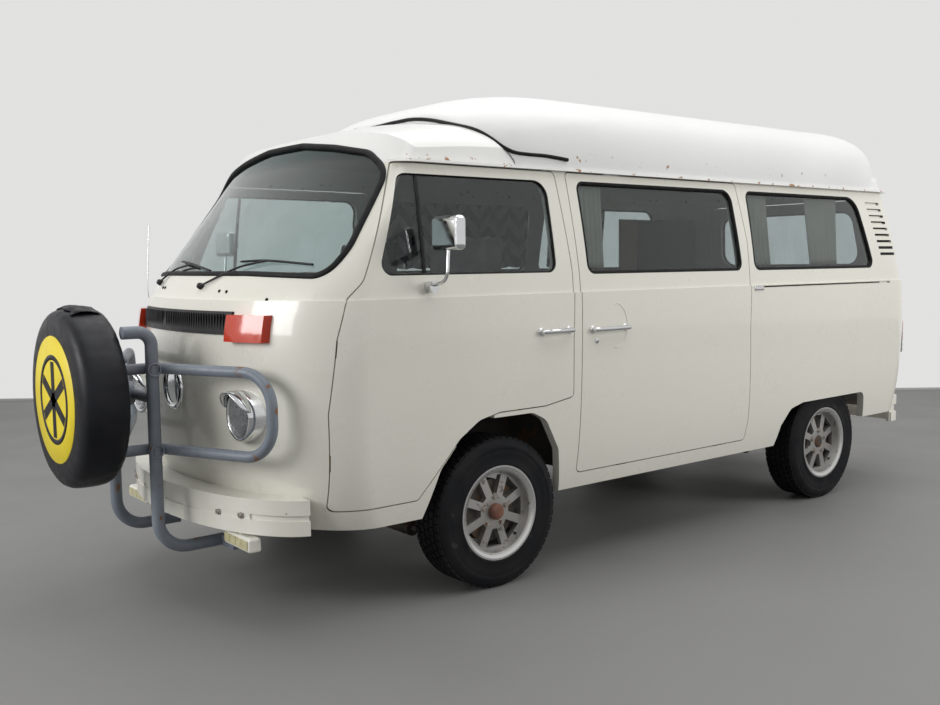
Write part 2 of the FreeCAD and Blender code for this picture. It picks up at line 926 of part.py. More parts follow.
LID_HOLE = end_prism(LID_OUTLINE, TAIL_START, TAIL_END)
LID_LEAF = end_prism(grown(LID_OUTLINE, -S.shut_gap), TAIL_START, TAIL_END)
FRONT_POCKET = wheel_pocket(FRONT_AXLE, S.pocket_radius)
REAR_POCKET = wheel_pocket(REAR_AXLE, S.pocket_radius)
UNDER_TAIL = box((-WIDE, REAR_AXLE, 0), (WIDE, AFT, S.tail_hem))


def body_panels():
    """The fixed panels of the body, split where the real ones meet."""
    nose = zone(FORE, -S.nose_split, SOLE, ROOF_LINE)
    nose = nose.cut([DOOR_HOLE, FRONT_ARCH_HOLE, SCREEN_HOLE, lamp_hole(), grille_hole()])
    nose = nose.cut(bumper_brackets(FORE, -S.nose_split, S.shut_gap))
    add_node("nose_panel", whole(left_half(nose)))

    side = zone(-S.nose_split, S.tail_split, SOLE, ROOF_LINE)
    side = side.cut([DOOR_HOLE, FRONT_ARCH_HOLE, REAR_ARCH_HOLE, QUARTER_WINDOW_HOLE])
    side = side.cut([REAR_POCKET, FRONT_POCKET, UNDER_TAIL, slider_groove()] + air_slots())
    add_node("side_panel_left", largest(side.cut(SLIDER_HOLE)))
    add_node("side_panel_right", mirrored(largest(side.cut(SLIDER_WINDOW_HOLE))))

    tail = zone(S.tail_split, AFT, SOLE, ROOF_LINE)
    tail = tail.cut([TAILGATE_HOLE, LID_HOLE, UNDER_TAIL])
    tail = tail.cut(bumper_brackets(S.tail_split, AFT, S.shut_gap))
    add_node("rear_panel", whole(left_half(tail)))

    roof = zone(FORE, AFT, ROOF_LINE, SKY).cut([SCREEN_HOLE, hatch_hole()])
    add_node("roof_panel", whole(left_half(roof.fuse(gutter()))))


def skin_at(height):
    """Half width of the upper body's skin at one height."""
    levels = [(level(name, "height"), level(name, "width")) for name in UPPER_LEVELS]
    for (low, wide), (high, narrow) in zip(levels, levels[1:]):
        if height <= high:
            return wide + (narrow - wide) * (height - low) / (high - low)
    return levels[-1][1]


def air_slots():
    """Cutters for the row of air slots behind the rear side window."""
    cutters = []
    pitch = (S.slot_top - S.slot_bottom) / S.slot_count
    for index in range(int(S.slot_count)):
        share = index / (S.slot_count - 1)
        low = S.slot_bottom + pitch * index
        front = S.slot_front_low + (S.slot_front_high - S.slot_front_low) * share
        rear = S.slot_rear_low + (S.slot_rear_high - S.slot_rear_low) * share
        corners = ((front, low), (rear, low), (rear, low + S.slot_height), (front, low + S.slot_height))
        points = [Vector(0, along, up) for along, up in corners]
        wire = rounded_outline(points, [S.slot_corner] * len(points))
        cutters.append(side_prism(wire, skin_at(low) - S.slot_depth, WIDE))
    return cutters


def slider_groove():
    low = S.groove_top - S.groove_height
    return box((S.belt_width - S.groove_depth, S.groove_start, low), (WIDE, S.groove_end, S.groove_top))


def gutter():
    """Rain gutter round the foot of the roof, from the windscreen pillar to the tail."""
    strip = body_loft(UPPER_LEVELS, -S.gutter_out).cut(body_loft(UPPER_LEVELS, S.gutter_thickness))
    return strip.common(box((-WIDE, -S.gutter_start, ROOF_LINE), (WIDE, AFT, ROOF_LINE + S.gutter_thickness)))


def hatch_hole():
    points = [
        Vector(S.hatch_half_width * a, -S.hatch_front + (S.hatch_front + S.hatch_rear) * b, ROOF_LINE)
        for a, b in HATCH_SHARES
    ]
    wire = rounded_outline(points, [S.hatch_corner] * len(points))
    return Part.Face(wire).extrude(Vector(0, 0, SKY - ROOF_LINE))


def doors():
    """The two front doors, the closed sliding door, the tailgate and the engine lid."""
    door = largest(SHELL.common(DOOR_LEAF).cut(DOOR_WINDOW_HOLE))
    add_node("front_door_left", door)
    add_node("front_door_right", mirrored(door))
    add_node("sliding_door", largest(SHELL.common(SLIDER_LEAF).cut(SLIDER_WINDOW_HOLE)))
    tailgate = SHELL.common(TAILGATE_LEAF).cut(TAIL_WINDOW_HOLE)
    add_node("tailgate", whole(left_half(tailgate)))
    add_node("engine_lid", whole(left_half(SHELL.common(LID_LEAF))))


def pane(opening, inward):
    """Pane with the body's own curve that fills one opening edge to edge."""
    front = OUTER_BODY.translated(inward * S.glass_depth)
    back = OUTER_BODY.translated(inward * (S.glass_depth + S.glass_thickness))
    return largest(front.common(opening).cut(back))


def glazing():
    """The panes of the windows."""
    door_pane = pane(DOOR_WINDOW_HOLE, Vector(-1, 0, 0))
    add_node("door_glass_left", door_pane)
    add_node("door_glass_right", mirrored(door_pane))
    slider_pane = pane(SLIDER_WINDOW_HOLE, Vector(-1, 0, 0))
    quarter_pane = pane(QUARTER_WINDOW_HOLE, Vector(-1, 0, 0))
    panes = both_sides(slider_pane) + both_sides(quarter_pane)
    add_node("side_glass", compound(panes))
    add_node("tailgate_glass", whole(left_half(pane(TAIL_WINDOW_HOLE, Vector(0, -1, 0)))))
    add_node("windscreen", whole(left_half(pane(SCREEN_HOLE, Vector(0, 1, 0)))))


# Nose fittings.


def nose_at(name, across):
    """Place of the nose's outer face at one level and distance from the centre plane."""
    depth = level(name, "depth")
    centre = -level(name, "front") + depth
    return centre - depth * math.sqrt(1 - (across / level(name, "width")) ** 2)


LAMP_FACE = nose_at("flank", S.lamp_out) - S.lamp_proud


def lamp_body(radius, start, depth):
    return Part.makeCylinder(radius, depth, Vector(S.lamp_out, start, S.lamp_height), Vector(0, 1, 0))


def lamp_hole():
    return lamp_body(S.lamp_radius + S.seat_gap, LAMP_FACE - S.overrun, S.overrun * 2)


def grille_block(grow):
    low = S.grille_bottom - grow
    high = S.grille_top + grow
    width = S.grille_half_width + grow
    return box((-width, FORE, low), (width, -S.nose_split, high))


def nose_layer(proud, depth):
    """A skin over the nose, from a little proud of it to some depth inside."""
    return body_loft(LOWER_LEVELS, -proud).cut(body_loft(LOWER_LEVELS, depth))


def grille_hole():
    return grille_block(S.seat_gap)


def nose_fittings():
    """Round headlamps, the fresh-air grille and the turn lamps beside it."""
    lamp = lamp_body(S.lamp_radius, LAMP_FACE, S.lamp_depth)
    lamp = lamp.makeFillet(S.lamp_proud / 2, [lamp.Edges[index] for index in round_edges(lamp, LAMP_FACE)])
    add_node("headlamps", compound(both_sides(lamp)))
    skin = nose_layer(S.grille_proud, S.grille_depth)
    add_node("fresh_air_grille", whole(left_half(skin.common(grille_block(0.0)))))
    block = box(
        (S.grille_half_width + S.shut_gap, FORE, S.turn_bottom), (S.turn_outer, -S.nose_split, S.turn_top)
    )
    lamp_skin = nose_layer(S.turn_proud, 0.0)
    add_node("turn_lamps", compound(both_sides(largest(lamp_skin.common(block)))))


def round_edges(shape, place):
    """Indices of the edges that lie in the plane at one place along Y."""
    found = []
    for index, edge in enumerate(shape.Edges):
        limits = edge.BoundBox
        if abs(limits.YMin - place) < 1e-3 and abs(limits.YMax - place) < 1e-3:
            found.append(index)
    return found


# Bumpers.


def band(outline, low, high):
    """Upright band along an outline's half plan, with a rib at its foot and one at its head."""
    inner = Part.Face(outline(S.bumper_thickness)).extrude(Vector(0, 0, high - low))
    rib = Part.Face(outline(0.0)).extrude(Vector(0, 0, S.bumper_rib))
    top = rib.translated(Vector(0, 0, high - low - S.bumper_rib))
    middle = Part.Face(outline(S.bumper_groove)).extrude(Vector(0, 0, high - low))
    shape = middle.fuse([rib, top]).cut(inner)
    shape.translate(Vector(0, 0, low))
    return shape


def front_plan(inset):
    """Left half of the front bumper's plan, an ellipse's quarter round a centre behind it."""

    def on_plan(across, out):
        return Vector(across, -S.bumper_centre - out, 0)

    depth = S.bumper_front_reach - S.bumper_centre - inset
    curve, front, end = quarter_curve(S.bumper_half_width - inset, depth, 2.0, on_plan)
    past = -S.centre_margin - inset
    corners = (Vector(past, -S.bumper_centre, 0), Vector(past, front.y, 0), front)
    edges = [curve]
    for corner in corners:
        edges.append(Part.LineSegment(end, corner).toShape())
        end = corner
    return Part.Wire(edges)


def rear_plan(inset):
    """Left half of the rear bumper's plan, straight with a rounded end."""
    width = S.rear_bumper_half_width - inset
    past = -S.centre_margin - inset
    start = S.rear_bumper_wrap - inset
    reach = S.rear_bumper_reach - inset
    points = [
        Vector(past, start, 0),
        Vector(width, start, 0),
        Vector(width, reach, 0),
        Vector(past, reach, 0),
    ]
    corner = S.rear_bumper_corner - inset
    return rounded_outline(points, [TOUCH, TOUCH, corner, TOUCH])


def bumpers():
    """Pressed bumpers that bend round nose and tail, on brackets from the floor rails."""
    front = band(front_plan, S.bumper_low, S.bumper_high)
    shelf = Part.Face(front_plan(S.bumper_groove)).extrude(Vector(0, 0, S.bumper_shelf))
    shelf.translate(Vector(0, 0, S.bumper_high - S.bumper_shelf))
    front = front.fuse(shelf).cut(body_loft(LOWER_LEVELS, -S.seat_gap))
    front = front.common(box((-WIDE, FORE, SOLE), (WIDE, -S.bumper_wrap, SKY)))
    bars = bumper_brackets(-S.bumper_front_reach + S.bracket_width, -S.floor_front - S.seat_gap, 0.0)
    add_node("front_bumper", fuse([whole(left_half(front))] + bars))
    rear = whole(left_half(band(rear_plan, S.rear_bumper_low, S.rear_bumper_high)))
    bars = bumper_brackets(S.floor_rear + S.seat_gap, S.rear_bumper_reach - S.bumper_thickness / 2, 0.0)
    add_node("rear_bumper", fuse([rear] + bars))


def bumper_brackets(start, stop, grow):
    """Flat bars from the ends of the floor rails to a bumper's back."""
    top = S.floor_height - S.floor_thickness - S.bumper_thickness
    bottom = S.floor_height - S.floor_thickness - S.rail_depth + S.bumper_thickness
    half = S.bracket_width / 2 + grow
    bars = []
    for across in (-S.rail_out, S.rail_out):
        bars.append(box((across - half, start, bottom - grow), (across + half, stop, top + grow)))
    return bars


# Floor, wheel boxes and engine deck.


@functools.lru_cache(maxsize=None)
def inside_of_body():
    return whole(left_half(body_loft(LOWER_LEVELS, S.wall + S.seat_gap)))


def floor_pan():
    """Floor plate with rails and jacking pads under it."""
    top = S.floor_height
    bottom = top - S.floor_thickness
    plate = box((-S.floor_half_width, -S.floor_front, bottom), (S.floor_half_width, S.floor_rear, top))
    plate = plate.common(inside_of_body())
    for side in (-1, 1):
        low = min(side * S.wheel_box_inner, side * WIDE)
        high = max(side * S.wheel_box_inner, side * WIDE)
        plate = plate.cut(box((low, -S.wheel_box_front, 0), (high, -S.wheel_box_back, SKY)))
        plate = plate.cut(box((low, REAR_AXLE - S.arch_rear_reach, 0), (high, AFT, SKY)))
        pivot = FreeCAD.Vector(side * S.door_pivot_out, -S.door_pivot_front, 0)
        plate = plate.cut(Part.makeCylinder(S.door_edge_sweep, SKY, pivot))
    plate = plate.cut(box((-WIDE, S.engine_bay_front, 0), (WIDE, AFT, SKY)))
    pieces = [plate]
    for side in (-1, 1):
        pieces.append(
            box(
                (side * S.rail_out - S.rail_width / 2, -S.floor_front, bottom - S.rail_depth),
                (side * S.rail_out + S.rail_width / 2, S.floor_rear, bottom),
            )
        )
        for start in (-S.jack_pad_front, S.jack_pad_rear):
            pieces.append(
                box(
                    (side * S.rail_out - S.rail_width / 2, start, bottom - S.rail_depth - S.jack_pad_depth),
                    (side * S.rail_out + S.rail_width / 2, start + S.jack_pad_length, bottom - S.rail_depth),
                )
            )
    floor = fuse(pieces)
    add_node("floor_pan", floor)
    add_node("seat_base", largest(front_wheel_boxes().cut(floor)))
    add_node("engine_deck", largest(engine_deck().cut(floor)))


def front_wheel_boxes():
    """The seat base across the cab: a closed hood over both front wheels."""
    wall = S.wheel_box_wall
    outer = box(
        (-WIDE, -S.wheel_box_front, S.floor_height - S.floor_thickness),
        (WIDE, -S.wheel_box_back, S.wheel_box_height),
    )
    inner = box(
        (-WIDE, -S.wheel_box_front + wall, 0), (WIDE, -S.wheel_box_back - wall, S.wheel_box_height - wall)
    )
    hood = outer.cut(inner).common(inside_of_body())
    tunnel = box(
        (-S.wheel_box_inner, -S.wheel_box_front, S.floor_height - S.floor_thickness),
        (S.wheel_box_inner, -S.wheel_box_back, S.wheel_box_height),
    )
    cavity = box(
        (-S.wheel_box_inner + wall, -S.wheel_box_front + wall, S.floor_height - wall),
        (S.wheel_box_inner - wall, -S.wheel_box_back - wall, S.wheel_box_height - wall),
    )
    return fuse([hood, tunnel.cut(cavity)])


def engine_deck():
    """Step up at the front of the engine bay, and the deck that covers bay and rear wheels."""
    wall = S.wheel_box_wall
    start = REAR_AXLE - S.arch_rear_reach
    riser = box((-WIDE, start, S.floor_height - S.floor_thickness), (WIDE, start + wall, S.wheel_box_height))
    lower_deck = box((-WIDE, start, S.wheel_box_height - wall), (WIDE, S.engine_bay_front, S.wheel_box_height))
    step = box(
        (-WIDE, S.engine_bay_front - wall, S.wheel_box_height - wall),
        (WIDE, S.engine_bay_front, S.engine_deck_height),
    )
    deck = box(
        (-WIDE, S.engine_bay_front - wall, S.engine_deck_height - wall), (WIDE, AFT, S.engine_deck_height)
    )
    return fuse([riser, lower_deck, step, deck]).common(inside_of_body())


# Wheels.


TYRE_CORNERS = (
    ("-bead_width / 2", "bead_radius + seat_gap"),
    ("-bead_width / 2", "rim_lip_radius + rim_lip_gap"),
    ("-tyre_width / 2", "bulge_radius"),
    ("-tyre_tread_width / 2", "tyre_radius"),
    ("tyre_tread_width / 2", "tyre_radius"),
    ("tyre_width / 2", "bulge_radius"),
    ("bead_width / 2", "rim_lip_radius + rim_lip_gap"),
    ("bead_width / 2", "bead_radius + seat_gap"),
)
BEAD_RULE = "bead_width / 2 + seat_gap"
LIP_RULE = BEAD_RULE + " + rim_lip_width"
FACE_RULE = LIP_RULE + " - rim_face_offset"
BACK_RULE = FACE_RULE + " - rim_face_thickness"
RIM_CORNERS = (
    ("-(%s)" % LIP_RULE, "rim_lip_radius - rim_wall"),
    ("-(%s)" % LIP_RULE, "rim_lip_radius"),
    ("-(%s)" % BEAD_RULE, "rim_lip_radius"),
    ("-(%s)" % BEAD_RULE, "bead_radius"),
    (BEAD_RULE, "bead_radius"),
    (BEAD_RULE, "rim_lip_radius"),
    (LIP_RULE, "rim_lip_radius"),
    (LIP_RULE, "rim_lip_radius - rim_wall"),
    (BEAD_RULE, "bead_radius - rim_wall"),
    (FACE_RULE, "bead_radius - 2 * rim_wall"),
    (FACE_RULE + " + rim_wall", "rim_hub_radius"),
    (FACE_RULE + " + rim_wall", "0"),
    (BACK_RULE, "0"),
    (BACK_RULE, "bead_radius - rim_wall"),
    ("-(%s)" % BEAD_RULE, "bead_radius - rim_wall"),
)
RIM_WINDOW_CORNERS = (
    ("-rim_window_root", "rim_window_inner"),
    ("rim_window_root", "rim_window_inner"),
    ("rim_window_tip", "rim_window_outer"),
    ("-rim_window_tip", "rim_window_outer"),
)
TURNED = FreeCAD.Rotation(Vector(0, 0, 1), 180)


def cast_rim(label):
    """Cast wheel: a turned barrel with lips and a disc, and windows cut between its spokes."""
    body = turned_body(label, RIM_CORNERS)
    document.recompute()
    window = corner_sketch(body, label + "_window", "YZ_Plane", RIM_WINDOW_CORNERS)
    pocket = body.newObject("PartDesign::Pocket", label + "_pocket")
    pocket.Profile = window
    pocket.Type = "ThroughAll"
    pocket.SideType = "Symmetric"
    pattern = body.newObject("PartDesign::PolarPattern", label + "_pattern")
    pattern.Originals = [pocket]
    pattern.Axis = (window, ["N_Axis"])
    pattern.Angle = 360
    bind(pattern, {"Occurrences": "rim_spokes"})
    body.Tip = pattern
    return body


WHEELS = {
    "front_left": ("front_wheel_out", "-" + AXLE_RULE),
    "front_right": ("-front_wheel_out", "-" + AXLE_RULE),
    "rear_left": ("rear_wheel_out", AXLE_RULE),
    "rear_right": ("-rear_wheel_out", AXLE_RULE),
}


def wheels():
    """Four tyres on their rims. The right side's are turned about."""
    for place, (across, along) in WHEELS.items():
        pieces = [turned_body("tyre_" + place, TYRE_CORNERS), cast_rim("rim_" + place)]
        for piece in pieces:
            if place.endswith("right"):
                piece.Placement = FreeCAD.Placement(Vector(), TURNED)
            seated(piece, across, along + " + " + SHIFT_RULE, "tyre_radius")
            NODES.append(piece)


RIM_BACK = (
    S.bead_width / 2 + S.seat_gap + S.rim_lip_width - S.rim_face_offset - S.rim_face_thickness
)


# Axles.


def rod(start, end, radius):
    line = end - start
    return Part.makeCylinder(radius, line.Length, start, line)


def knuckles():
    """Steered hubs: kingpin, stub and drum, out to the back of the wheel's disc."""
    start = "front_wheel_out + %s - seat_gap - drum_depth" % BACK_RULE
    for hand, side, turn in (("left", "", ALONG_X), ("right", "-", ALONG_X.inverted())):
        pin_start = (side + "kingpin_out", "-" + AXLE_RULE, "tyre_radius - kingpin_height / 2")
        pin = bound_rod("kingpin_" + hand, pin_start, "kingpin_height", "kingpin_radius")
        stub_start = (side + "kingpin_out", "-" + AXLE_RULE, "tyre_radius")
        stub = bound_rod("stub_" + hand, stub_start, start + " - kingpin_out", "hub_radius", turn)
        drum_start = ("%s(%s)" % (side, start), "-" + AXLE_RULE, "tyre_radius")
        drum = bound_rod("drum_" + hand, drum_start, "drum_depth", "drum_radius", turn)
        bound_node("knuckle_" + hand, [bound_fuse("knuckle_form_" + hand, [pin, stub, drum])])


def front_axle():
    """Two cross tubes with trailing arms that hold the kingpins' ends, hung from the floor rails."""
    along = FRONT_AXLE - S.axle_tube_back
    half = S.kingpin_height / 2
    pieces = []
    for height, side in ((S.axle_tube_low, -1), (S.axle_tube_high, 1)):
        pieces.append(
            rod(
                Vector(-S.axle_tube_half, along, height),
                Vector(S.axle_tube_half, along, height),
                S.axle_tube_radius,
            )
        )
        end = AXLE_HEIGHT + side * (half + S.seat_gap + S.arm_radius)
        for hand in (-1, 1):
            eye = Vector(hand * S.kingpin_out, FRONT_AXLE, end)
            root = Vector(hand * (S.axle_tube_half - S.arm_radius), along, height)
            pieces.append(rod(root, eye, S.arm_radius))
            foot = eye - Vector(0, 0, S.arm_radius)
            pieces.append(Part.makeCylinder(S.kingpin_radius, S.arm_radius * 2, foot))
    rail_under = S.floor_height - S.floor_thickness - S.rail_depth
    for hand in (-1, 1):
        low = hand * S.rail_out - S.rail_width / 2
        high = hand * S.rail_out + S.rail_width / 2
        pieces.append(
            box(
                (low, along - S.axle_tube_radius, S.axle_tube_low),
                (high, along + S.axle_tube_radius, rail_under - S.seat_gap),
            )
        )
    room = S.kingpin_radius + S.rim_lip_gap
    foot = -half - S.seat_gap
    clearances = []
    for hand in (-1, 1):
        centre = Vector(hand * S.kingpin_out, FRONT_AXLE, AXLE_HEIGHT + foot)
        clearances.append(Part.makeCylinder(room, -2 * foot, centre))
    add_node("front_axle", fuse(pieces).cut(clearances))


def rear_axle():
    """Cross tube, trailing arms and hubs that carry the rear wheels."""
    along = REAR_AXLE - S.rear_tube_forward
    tube = rod(
        Vector(-S.rear_tube_half, along, S.rear_tube_height),
        Vector(S.rear_tube_half, along, S.rear_tube_height),
        S.rear_tube_radius,
    )
    disc_back = S.rear_wheel_out + RIM_BACK - S.seat_gap
    drum_start = disc_back - S.drum_depth
    pieces = [tube]
    for hand in (-1, 1):
        hub_start = Vector(hand * (S.rear_tube_half - S.rear_tube_radius), REAR_AXLE, AXLE_HEIGHT)
        drum_root = Vector(hand * drum_start, REAR_AXLE, AXLE_HEIGHT)
        arm_root = Vector(hub_start.x, along, S.rear_tube_height)
        pieces.append(rod(arm_root, hub_start, S.trailing_arm_radius))
        pieces.append(rod(Vector(0, REAR_AXLE, AXLE_HEIGHT), drum_root, S.arm_radius))
        pieces.append(rod(hub_start, drum_root, S.hub_radius))
        pieces.append(rod(drum_root, Vector(hand * disc_back, REAR_AXLE, AXLE_HEIGHT), S.drum_radius))
    rail_under = S.floor_height - S.floor_thickness - S.rail_depth
    for hand in (-1, 1):
        low = hand * S.rail_out - S.rail_width / 2
        high = hand * S.rail_out + S.rail_width / 2
        pieces.append(
            box(
                (low, along - S.rail_width / 2, S.rear_tube_height),
                (high, along + S.rail_width / 2, rail_under - S.seat_gap),
            )
        )
    add_node("rear_axle", fuse(pieces))


RAIL_UNDER = "floor_height - floor_thickness - rail_depth"


def engine():
    """The engine, one plain block hung between the rear rails, and the silencer behind it."""
    rear = "engine_front + engine_length"
    low = ("-engine_half_width", "engine_front", "engine_low")
    block = bound_box("engine_form", low, ("engine_half_width", rear, "engine_high"))
    channels = []
    for hand, side in (("left", ""), ("right", "-")):
        centre = side + "rail_out"
        corner = (centre + " - rail_width / 2 - seat_gap", "engine_front", RAIL_UNDER + " - seat_gap")
        opposite = (centre + " + rail_width / 2 + seat_gap", rear, "engine_high")
        channels.append(bound_box("rail_channel_" + hand, corner, opposite))
    bound_node("engine_block", [bound_cut("engine_cut", block, channels)])
    drum_start = ("-silencer_length / 2", rear + " + silencer_gap + silencer_radius", "silencer_height")
    drum = bound_rod("silencer_drum", drum_start, "silencer_length", "silencer_radius", ALONG_X)
    corner = ("-bracket_width / 2", rear + " + seat_gap", "silencer_height - arm_radius")
    opposite = ("bracket_width / 2", rear + " + silencer_radius", "silencer_height + arm_radius")
    flange = bound_box("silencer_flange", corner, opposite)
    pipe_start = ("tailpipe_out", drum_start[1], "tailpipe_height")
    reach = "rear_bumper_reach - (%s)" % drum_start[1]
    pipe = bound_rod("tailpipe", pipe_start, reach, "tailpipe_radius", ALONG_Y)
    bound_node("silencer", [bound_fuse("silencer_form", [drum, flange, pipe])])


# Lifting roof.

POPTOP_STATIONS = 16


def rounding(share):
    """Growth from nought to one along a superellipse's quarter."""
    return (1 - (1 - min(share, 1.0)) ** S.poptop_power) ** (1 / S.poptop_power)


def poptop_form(inset, foot):
    """Left half of the lifting roof's outer or inner form, rounded at nose and tail."""
    sections = []
    start = -S.poptop_front + inset
    end = S.poptop_rear - inset
    for place in eased_places(start, end, POPTOP_STATIONS):
        from_nose = place - start
        from_tail = end - place
        spread = rounding(from_nose / S.poptop_corner) * rounding(from_tail / S.poptop_corner)
        width = S.poptop_tip_width + (S.poptop_half_width - S.poptop_tip_width) * spread - inset
        peak = S.poptop_tip_height + (S.poptop_height - S.poptop_tip_height) * rounding(from_nose / S.poptop_nose)
        peak -= S.poptop_tail_drop * (1 - rounding(from_tail / S.poptop_tail)) + inset
        edge = S.poptop_foot + S.poptop_rim
        past = S.centre_margin + inset
        sections.append(crown_section(place, width, edge, peak, S.poptop_crown_power, past, ((width, foot),)))
    return Part.makeLoft(sections, True, False)


def poptop():
    """Moulded lid that lies on gutter and roof and follows the roof's curve with a narrow seat gap."""
    outer = left_half(poptop_form(0.0, S.poptop_foot))
    inner = poptop_form(S.poptop_wall, S.poptop_foot - S.poptop_wall)
    shell = largest(outer.cut(roof_form(-S.seat_gap)).cut(inner))
    add_node("pop_top", whole(shell))


# Tube guard and spare wheel.


def tube_path(points, radius, bends):
    """Round tube along straight runs joined by tangent arcs, one bend for each inner point."""
    edges = []
    last = points[0]
    for index in range(1, len(points) - 1):
        corner = points[index]
        before = points[index - 1] - corner
        after = points[index + 1] - corner
        half_turn = before.getAngle(after) / 2
        reach = min(bends[index - 1] / math.tan(half_turn), before.Length * 0.48, after.Length * 0.48)
        before.normalize()
        after.normalize()
        inward = before + after
        inward.normalize()
        arc_radius = reach * math.tan(half_turn)
        start = corner + before * reach
        end = corner + after * reach
        middle = corner + inward * (arc_radius / math.sin(half_turn) - arc_radius)
        edges.append(Part.LineSegment(last, start).toShape())
        edges.append(Part.Arc(start, middle, end).toShape())
        last = end
    edges.append(Part.LineSegment(last, points[-1]).toShape())
    path = Part.Wire(edges)
    direction = points[1] - points[0]
    circle = Part.Wire([Part.Circle(points[0], direction, radius).toShape()])
    return path.makePipeShell([circle], True, False)


def bull_bar():
    """Two posts bent back under the bumper, a looped tube each side and a hub for the spare wheel."""
    front = -S.guard_front
    back = -S.spare_back + S.seat_gap
    out = S.guard_post_out
    under = S.bumper_low - S.guard_tube / 2 - S.seat_gap
    pieces = []
    for hand in (-1, 1):
        post = [
            Vector(hand * out, -S.guard_foot_end, S.guard_foot),
            Vector(hand * out, front, S.guard_foot),
            Vector(hand * out, front, S.guard_top),
            Vector(hand * out, back, S.guard_top),
        ]
        pieces.append(tube_path(post, S.guard_tube / 2, [S.guard_loop_bend, S.guard_bend]))
        loop = []
        for height in (S.guard_upper, S.guard_lower):
            run = [
                Vector(hand * S.guard_stub_out, back, height),
                Vector(hand * S.guard_stub_out, -S.guard_pass, height),
                Vector(hand * S.guard_loop_out, -S.guard_loop_front, height),
            ]
            loop += run if height == S.guard_upper else run[::-1]
        bends = [S.guard_stub_bend, S.guard_loop_bend, S.guard_loop_bend, S.guard_stub_bend]
        pieces.append(tube_path(loop, S.guard_loop_tube / 2, bends))
        inner = hand * S.rail_out
        low = min(hand * out, inner) - S.guard_strap
        high = max(hand * out, inner) + S.guard_strap
        strap = S.guard_strap
        pieces.append(
            box(
                (low, -S.guard_foot_end, S.guard_foot - strap),
                (high, -S.guard_foot_end + strap, S.guard_foot + strap),
            )
        )
        bracket = S.floor_height - S.floor_thickness - S.rail_depth + S.bumper_thickness
        pieces.append(
            box(
                (inner - strap, -S.guard_foot_end, S.guard_foot - strap),
                (inner + strap, -S.guard_foot_end + strap, bracket - S.seat_gap),
            )
        )
    cross = Vector(out, front, S.spare_height)
    pieces.append(rod(Vector(-out, front, S.spare_height), cross, S.guard_loop_tube / 2))
    hub_front = Vector(0, -S.spare_back - S.guard_tube, S.spare_height)
    pieces.append(rod(Vector(0, front, S.spare_height), hub_front, S.guard_tube))
    add_node("bull_bar", fuse(pieces))


COVER_RULE = "(spare_front - spare_back) / 2"
COVER_INNER_RULE = "(%s - cover_wall)" % COVER_RULE
ROUND_SHARES = ((0.0, 1.0), (0.134, 0.5), (0.5, 0.134), (1.0, 0.0))
COVER_CORNERS = [(COVER_RULE, "0")]
for along_share, out_share in ROUND_SHARES:
    COVER_CORNERS.append(
        (
            "%s - %s * cover_round" % (COVER_RULE, along_share),
            "cover_radius - %s * cover_round" % out_share,
        )
    )
for along_share, out_share in ROUND_SHARES[::-1]:
    COVER_CORNERS.append(
        (
            "%s * cover_round - %s" % (along_share, COVER_RULE),
            "cover_radius - %s * cover_round" % out_share,
        )
    )
COVER_CORNERS += [
    ("-" + COVER_RULE, "cover_mouth"),
    ("-" + COVER_INNER_RULE, "cover_mouth"),
    ("-" + COVER_INNER_RULE, "cover_radius - cover_round"),
    ("-%s + cover_round - cover_wall" % COVER_INNER_RULE, "cover_radius - cover_wall"),
    ("%s - cover_round + cover_wall" % COVER_INNER_RULE, "cover_radius - cover_wall"),
    (COVER_INNER_RULE, "cover_radius - cover_round"),
    (COVER_INNER_RULE, "0"),
]
SPARE_HALF_RULE = "(%s - cover_wall - seat_gap)" % COVER_RULE
SPARE_OUTER_RULE = "cover_radius - cover_wall - seat_gap"
SPARE_TYRE_CORNERS = (
    (SPARE_HALF_RULE, "spare_disc_radius"),
    (SPARE_HALF_RULE, SPARE_OUTER_RULE + " - cover_round"),
    (SPARE_HALF_RULE + " - cover_round", SPARE_OUTER_RULE),
    ("-%s + cover_round" % SPARE_HALF_RULE, SPARE_OUTER_RULE),
    ("-" + SPARE_HALF_RULE, SPARE_OUTER_RULE + " - cover_round"),
    ("-" + SPARE_HALF_RULE, "spare_disc_radius"),
    ("-(%s - guard_tube - seat_gap)" % COVER_RULE, "spare_disc_radius"),
    ("-(%s - guard_tube - seat_gap)" % COVER_RULE, "0"),
    ("-(%s - guard_tube - seat_gap) + spare_disc_depth" % COVER_RULE, "0"),
    ("-(%s - guard_tube - seat_gap) + spare_disc_depth" % COVER_RULE, "spare_disc_radius"),
)
FORWARD = FreeCAD.Rotation(Vector(0, 0, 1), -90)


def spare():
    """Spare wheel on the guard's hub, in a vinyl cover that is open round its back."""
    middle = "-(spare_front + spare_back) / 2 + " + SHIFT_RULE
    cover = turned_body("spare_cover", COVER_CORNERS)
    wheel = turned_body("spare_wheel", SPARE_TYRE_CORNERS)
    for piece in (cover, wheel):
        piece.Placement = FreeCAD.Placement(Vector(), FORWARD)
        seated(piece, "0", middle, "spare_height")
        NODES.append(piece)


# Lamps at the tail and under the bumper, mirrors, hinges.


def tail_lamps():
    """Lamps that wrap round the rear corners."""
    skin = body_loft(LOWER_LEVELS, -S.tail_lamp_proud).cut(body_loft(LOWER_LEVELS, -S.seat_gap))
    block = box((S.tail_lamp_inner, S.tail_split, S.tail_lamp_low), (WIDE, AFT, S.tail_lamp_high))
    add_node("tail_lamps", compound(both_sides(largest(skin.common(block)))))


